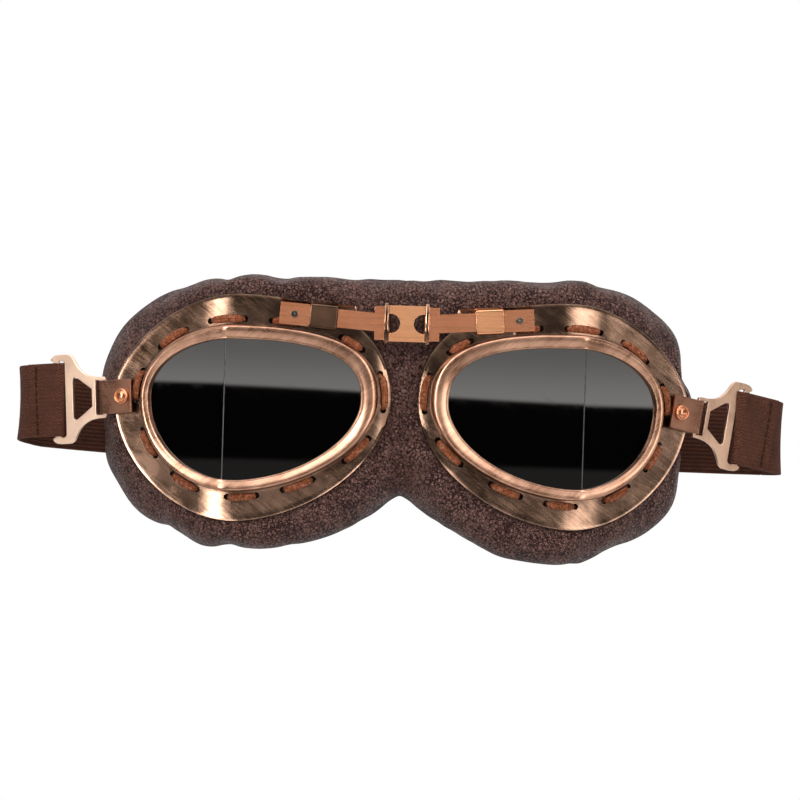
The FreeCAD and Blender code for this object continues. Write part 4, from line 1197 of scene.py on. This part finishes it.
class GOGGLES_OT_fittings(bpy.types.Operator):
    """Tabs, rivets, buckles and the rear slider"""
    bl_idname = "goggles.fittings"
    bl_label = "Strap fittings"

    def execute(self, context):
        for side_name, side in SIDES.items():
            hardware(f"{side_name}_strap_tab", f"{side_name}_tab", "tab_copper", 0.16)
            self.buckle(side_name, side)
            self.rivet(side_name, side)
        hardware("strap_slider", "slider", "antique_copper", 0.9, 4)
        return {"FINISHED"}

    @staticmethod
    def buckle(side_name, side):
        """A stamped plate with curved flanks and hooked lugs, and its three openings."""
        droop = math.radians(DROOP[side_name])
        along = SIDE_ALONG * math.cos(droop) - Vector((0, 0, math.sin(droop)))
        up = SIDE_ALONG * math.sin(droop) + Vector((0, 0, math.cos(droop)))
        root = RIVET + along * FOLD[0] - SIDE_OUT * FOLD[1]

        def plate(name, half, thick):
            """A prism from half an outline, mirrored about the strap's middle line."""
            ring = [root + along * a + up * h for a, h in half]
            ring += [root + along * a - up * h for a, h in reversed(half)]
            layers = [[one + SIDE_OUT * ahead for one in ring] for ahead in (thick, -thick)]
            return capped(lofted(name, layers, side))

        body = plate(f"{side_name}_buckle_plate", BUCKLE_OUTLINE, 0.6)
        for half in BUCKLE_OPENINGS:
            cutter = plate("cutter", half, 3.0)
            with_modifier(body, "BOOLEAN", operation="DIFFERENCE", object=cutter, solver="EXACT")
            bpy.data.objects.remove(cutter)
        bevelled(body, 0.28, 3)
        # The right buckle's plating is a darker copy of the left one's: painted shade.
        plating_and_painted_shade = paint("pale_copper" if side_name == "left" else "tan_copper")
        return dressed(body, [plating_and_painted_shade, paint("rubbed_edge")], "buckle_copper", f"{side_name}_buckle",
                       f"{side_name}_strap_buckle")

    @staticmethod
    def rivet(side_name, side):
        """A domed, dimpled head on a shank, turned round the rivet's line."""
        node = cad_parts[f"{side_name}_tab_rivet"]
        spots = [mirrored(node.matrix_world @ vert.co, side) for vert in node.data.vertices]
        ahead = [one.dot(SIDE_OUT) / MM for one in spots]
        crown = max(ahead)
        middle = RIVET + SIDE_OUT * (crown - RIVET.dot(SIDE_OUT))
        section = [
            (0.9, min(ahead) - crown), (0.95, -1.6), (2.5, -1.5), (2.7, -1.2), (2.68, -0.75), (2.5, -0.4),
            (2.25, -0.28), (2.0, -0.36), (1.85, -0.55), (1.7, -0.5), (1.4, -0.2), (1.0, -0.02), (0.5, 0.06),
            (0.05, 0.08)]
        piece = turned(f"{side_name}_rivet_head", middle, SIDE_OUT, section, side)
        return dressed(piece, [paint("bright_copper")], "bright_copper", f"{side_name}_frame", node.name)


# Strap

# The strap, how far its loop and its laps lie from the rivet, and where the rear bands run
STRAP_WIDTH, STRAP_THICK = 25.0, 1.4
LOOP = 26.3
LAP = {"left": 38.6, "right": 40.8}
BAND_Y = {"left": 23.85, "right": 26.15}
BAND_Z = -6.0


def beside_rivet(along, behind):
    """X and Y of a point drawn around the rivet: along the side of the frame and behind it."""
    return (RIVET.x + along * math.cos(BEND) - behind * math.sin(BEND),
            RIVET.y + along * math.sin(BEND) + behind * math.cos(BEND))


def strap_route(side_name):
    """Middle line of the strap in plan with its height: lap, loop, front run, turn, rear band."""
    loop, lap = 1.5, LAP[side_name]
    plan = [(lap - 1.5 - step * 1.6, FOLD[1] - loop) for step in range(6)]
    plan += [(LOOP - loop * math.sin(turn), FOLD[1] - loop * math.cos(turn))
             for turn in (math.pi * step / 8 for step in range(9))]
    plan += [(LOOP + (lap - LOOP) * step / 8, FOLD[1] + loop) for step in range(1, 9)]
    route = [beside_rivet(*one) for one in plan]
    start = beside_rivet(lap, FOLD[1] + loop)
    radius = (BAND_Y[side_name] - start[1]) / (1 + math.cos(BEND))
    centre = beside_rivet(lap, FOLD[1] + loop + radius)
    sweep = math.pi - BEND
    for step in range(1, 25):
        turn = BEND - math.pi / 2 + sweep * step / 24
        route.append((centre[0] + radius * math.cos(turn), centre[1] + radius * math.sin(turn)))
    last = route[-1][0]
    band_end = -30.0
    route += [(last + (band_end - last) * step / 60, BAND_Y[side_name]) for step in range(1, 61)]
    return [Vector((x, y, 0.0)) for x, y in route]


# Points of the route between which the strap turns to the back
TURN_FIRST, TURN_LAST = 23, 46


def strap_heights(side_name, route):
    """Height of the middle line: it hangs with the buckle, then climbs or falls to the rear band."""
    slope = math.tan(math.radians(DROOP[side_name]))
    heights = []
    far = 0.0
    for number, point in enumerate(route):
        hung = RIVET.z - (point.x - RIVET.x) / math.cos(BEND) * slope
        if number > TURN_FIRST:
            far += (point - route[number - 1]).length
            hung = heights[TURN_FIRST] - slope * 12.0 * (1 - math.exp(-far / 12.0))
        heights.append(hung + (BAND_Z - hung) * eased((number - TURN_FIRST) / 44.0))
    return heights


class GOGGLES_OT_strap(bpy.types.Operator):
    """Woven elastic strap: sewn loops, turns and lapped rear bands"""
    bl_idname = "goggles.strap"
    bl_label = "Strap"

    def execute(self, context):
        for side_name, side in SIDES.items():
            route = strap_route(side_name)
            heights = strap_heights(side_name, route)
            middle = [Vector((one.x, one.y, high)) for one, high in zip(route, heights)]
            cuts = [0, TURN_FIRST + 5, TURN_FIRST + 19, len(route) - 1]
            for number, part in enumerate(("front", "turn", "rear")):
                first, last = cuts[number], cuts[number + 1]
                piece, length = self.ribbon(f"{side_name}_strap_{part}", middle, first, last, side)
                weave = paint("ribbed_elastic" if part == "rear" else "brown_elastic")
                dressed(piece, [weave], "brown_elastic", None)
                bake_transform(piece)
                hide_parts(f"{side_name}_{'strap_band' if number == 2 else 'strap_end'}")
            self.seam(side_name, side, middle)
        return {"FINISHED"}

    @staticmethod
    def across(middle, number):
        """The strap's upward edge-to-edge direction, square to its run."""
        before = middle[max(number - 1, 0)]
        after = middle[min(number + 1, len(middle) - 1)]
        way = (after - before).normalized()
        return (Vector((0, 0, 1)) - way * way.z).normalized(), way

    def ribbon(self, name, middle, first, last, side):
        """One length of strap: a grid laid along the route, thickened, with soft edges."""
        wide, steps = 12, last - first
        clear_selection()
        bpy.ops.mesh.primitive_grid_add(x_subdivisions=wide, y_subdivisions=steps, size=1.0)
        piece = bpy.context.object
        piece.name = name
        lengths = [0.0]
        for number in range(1, len(middle)):
            lengths.append(lengths[-1] + (middle[number] - middle[number - 1]).length)
        layer = piece.data.uv_layers[0]
        for number, vert in enumerate(piece.data.vertices):
            row = first + number // (wide + 1)
            share = (number % (wide + 1)) / wide - 0.5
            up, way = self.across(middle, row)
            out = up.cross(way).normalized()
            cup = 0.45 * (1 - (2 * share) ** 2)
            vert.co = placed(middle[row] + up * (share * STRAP_WIDTH) + out * (cup - 0.2), side)
        for loop in piece.data.loops:
            number = loop.vertex_index
            layer.data[loop.index].uv = ((number % (wide + 1)) / wide * STRAP_WIDTH,
                                         lengths[first + number // (wide + 1)])
        with_modifier(piece, "SOLIDIFY", thickness=STRAP_THICK * MM, offset=0.0)
        with_modifier(piece, "BEVEL", width=0.35 * MM, segments=2, limit_method="ANGLE",
                      angle_limit=math.radians(50.0))
        with editing(piece):
            bpy.ops.mesh.normals_make_consistent(inside=False)
        shaded(piece, 50.0)
        return piece, lengths[last] - lengths[first]

    def seam(self, side_name, side, middle):
        """A row of thread stitches across the lap."""
        up, way = self.across(middle, 2)
        out = up.cross(way).normalized()
        if out.y > 0:
            out = out * -1
        root = middle[2] + out * (STRAP_THICK / 2 + 0.25)
        rings = []
        for step in range(7):
            share = step / 6
            arch = math.sin(share * math.pi)
            thick = 0.28 + 0.1 * arch
            point = root + up * ((share - 0.5) * 2.2) + out * (0.22 * arch - 0.1)
            rings.append([point + way * (thick * math.cos(turn)) + out * (0.8 * thick * math.sin(turn))
                          for turn in turns(8)])
        first = lofted("thread", rings, side)
        stitches = [duplicate(first, "thread") for _ in range(9)]
        for number, one in enumerate(stitches):
            one.data.transform(Matrix.Translation(placed(up * ((number - 4) * 2.6), side)))
        bpy.data.objects.remove(first)
        row = joined(f"{side_name}_strap_thread", stitches)
        shaded(row, 60.0)
        dressed(row, [paint("thread")], "brown_elastic", f"{side_name}_buckle")


# Stage

class GOGGLES_OT_stage(bpy.types.Operator):
    """Camera, lamps, reflection cards and pale floor"""
    bl_idname = "goggles.stage"
    bl_label = "Stage"

    def execute(self, context):
        scene = context.scene
        scene.view_settings.view_transform = "Standard"
        self.camera(scene)
        self.world(scene)
        self.floor()
        self.lamp("key", (-0.6, -0.8, 0.75), (0.6, 0.6), 4.5)
        self.lamp("fill", (0.8, -0.8, 0.6), (0.6, 0.6), 3.0)
        self.lamp("front", (0.0, -1.1, 0.4), (0.9, 0.4), 5.0).visible_glossy = False
        self.lamp("top", (0.0, -0.1, 0.9), (0.9, 0.5), 3.0)
        self.card()
        return {"FINISHED"}

    @staticmethod
    def camera(scene):
        """The photograph's view: level, a little from the left and slightly rolled."""
        target, distance = Vector((-1.45, FRONT, 3.96)) * MM, 0.9
        around, roll = math.radians(-2.0), math.radians(1.7)
        data = bpy.data.cameras.new("camera")
        data.lens = 121.5
        data.sensor_width = 36.0
        data.clip_start = 0.01
        item = bpy.data.objects.new("camera", data)
        scene.collection.objects.link(item)
        away = Vector((math.sin(around), -math.cos(around), 0.0)) * distance
        aim = (Matrix.Rotation(around, 4, "Z") @ Matrix.Rotation(math.pi / 2, 4, "X")
               @ Matrix.Rotation(roll, 4, "Z"))
        item.matrix_world = Matrix.Translation(target + away) @ aim
        scene.camera = item

    @staticmethod
    def shown_white(nodes, output, glow, shader):
        """White for the camera, mirrors and glass; the given shader for light on matt surfaces."""
        rays = nodes.node("LightPath").outputs
        seen = Field(nodes, rays["Is Camera Ray"])
        for ray in ("Is Glossy Ray", "Is Transmission Ray"):
            seen = seen.most(Field(nodes, rays[ray]))
        white = nodes.node(glow, {"Color": (1, 1, 1)})
        mix = nodes.node("MixShader", {0: seen, 1: shader.outputs[0], 2: white.outputs[0]})
        nodes.feed(nodes.present(output).inputs["Surface"], mix.outputs[0])

    def world(self, scene):
        scene.world = bpy.data.worlds.new("studio")
        scene.world.use_nodes = True
        nodes = Nodes(scene.world.node_tree)
        light = nodes.present("BACKGROUND")
        nodes.feed(light.inputs["Color"], (1, 1, 1))
        nodes.feed(light.inputs["Strength"], 0.55)
        self.shown_white(nodes, "OUTPUT_WORLD", "Background", light)

    def floor(self):
        clear_selection()
        bpy.ops.mesh.primitive_plane_add(size=8.0, location=(0, 0, -0.75))
        floor = bpy.context.object
        floor.name = "floor"
        p = Paint("pale_floor")
        speck = p.noise(p.place(), 0.02, 3.0, 0.5)
        p.finish(p.mix(speck, (0.80, 0.79, 0.78), (0.86, 0.855, 0.85)), speck * 0.2 + 0.6)
        self.shown_white(p, "OUTPUT_MATERIAL", "Emission", p.shader)
        floor.data.materials.append(p.material)

    @staticmethod
    def lamp(name, place, size, power):
        data = bpy.data.lights.new(name, "AREA")
        data.shape = "RECTANGLE"
        data.size, data.size_y = size
        data.energy = power
        item = bpy.data.objects.new(name, data)
        bpy.context.scene.collection.objects.link(item)
        item.location = place
        item.rotation_euler = (Vector(place) * -1).to_track_quat("-Z", "Y").to_euler()
        return item

    @staticmethod
    def card():
        """A curved card in front that only mirrors show: dark below, a light strip above, and softboxes."""
        far, sweep, tall = 1270.0, 220.0, 1500.0
        clear_selection()
        bpy.ops.mesh.primitive_grid_add(x_subdivisions=64, y_subdivisions=24, size=1.0)
        card = bpy.context.object
        card.name = "studio_card"
        for vert in card.data.vertices:
            turn = math.radians(sweep * vert.co.x)
            vert.co = Vector((far * math.sin(turn), -far * math.cos(turn), tall * vert.co.y)) * MM
        p = Paint("studio_card")
        flat = p.place()
        x, z = p.along(flat, "X"), p.along(flat, "Z")
        low = z * -1.0
        horizon = ((x - 50.0) * (1 / 130.0)).maths("TANH") * -4.6 + 8.4
        above = (z - horizon).step(-2.0, 2.0)
        centre = x.step(-260.0, -160.0) * (1.0 - x.step(160.0, 260.0))
        fade = 1.0 - z.step(86.0, 125.0)
        strip = above * fade * (1.2 - z.step(0.0, 50.0) * 0.55) + centre * z.step(50.0, 60.0) * fade * 2.0
        dim = low.step(44.0, 49.0) * 0.08 + low.step(260.0, 560.0) * 0.35 + z.step(86.0, 125.0) * 0.08
        dim = dim + z.step(300.0, 560.0) * 0.1
        height = (1.0 - z.step(420.0, 560.0)) * (1.0 - low.step(190.0, 240.0))
        left = x.step(-990.0, -920.0) * (1.0 - x.step(-720.0, -600.0))
        right = (1.0 - x.step(900.0, 980.0)) * x.step(440.0, 560.0)
        upper, lower = z.step(100.0, 135.0), low.step(100.0, 135.0)
        glint = x.step(-890.0, -865.0) * (1.0 - x.step(-700.0, -650.0)) * (upper * 24.0 + lower * 12.0)
        inner = low.step(-60.0, 60.0)
        far_right, far_left = x.step(1020.0, 1100.0), 1.0 - x.step(-1100.0, -1020.0)
        boxes = left * (upper * 0.6 + lower * 7.8 + 0.3) + right * (inner * 5.8 + upper * 3.5 + 0.3)
        boxes = boxes + (far_right * 4.2 + far_left * 0.4) * low.step(112.0, 150.0) + glint
        light = strip + dim + height * boxes
        warm = (1.0, 0.97, 0.93)
        tint = p.node("CombineColor", {number: light * share for number, share in enumerate(warm)})
        p.feed(p.shader.inputs["Emission Color"], tint.outputs[0])
        p.finish((0, 0, 0), 1.0, emission_strength=1.0, specular_ior_level=0.0)
        card.data.materials.append(p.material)
        for ray in ("camera", "diffuse", "shadow", "transmission"):
            setattr(card, f"visible_{ray}", False)


class GOGGLES_PT_panel(bpy.types.Panel):
    bl_idname = "GOGGLES_PT_panel"
    bl_label = "Goggles"
    bl_space_type = "VIEW_3D"
    bl_region_type = "UI"
    bl_category = "Goggles"

    def draw(self, context):
        for group in (context.scene.goggle_sizes, context.scene.goggle_colours):
            for name in group.__annotations__:
                self.layout.prop(group, name)
        for one in OPERATORS:
            self.layout.operator(one.bl_idname)


OPERATORS = (GOGGLES_OT_frames, GOGGLES_OT_lenses, GOGGLES_OT_lacing, GOGGLES_OT_leather,
             GOGGLES_OT_bridge, GOGGLES_OT_fittings, GOGGLES_OT_strap, GOGGLES_OT_stage)
CLASSES = (GoggleSizes, GoggleColours) + OPERATORS + (GOGGLES_PT_panel,)


def register():
    for one in CLASSES:
        bpy.utils.register_class(one)
    bpy.types.Scene.goggle_sizes = bpy.props.PointerProperty(type=GoggleSizes)
    bpy.types.Scene.goggle_colours = bpy.props.PointerProperty(type=GoggleColours)


def unregister():
    del bpy.types.Scene.goggle_colours
    del bpy.types.Scene.goggle_sizes
    for one in reversed(CLASSES):
        bpy.utils.unregister_class(one)


def main():
    register()
    bpy.ops.goggles.frames()
    bpy.ops.goggles.lenses()
    bpy.ops.goggles.lacing()
    bpy.ops.goggles.leather()
    bpy.ops.goggles.bridge()
    bpy.ops.goggles.fittings()
    bpy.ops.goggles.strap()
    bpy.ops.goggles.stage()


if __name__ == "__main__":
    main()
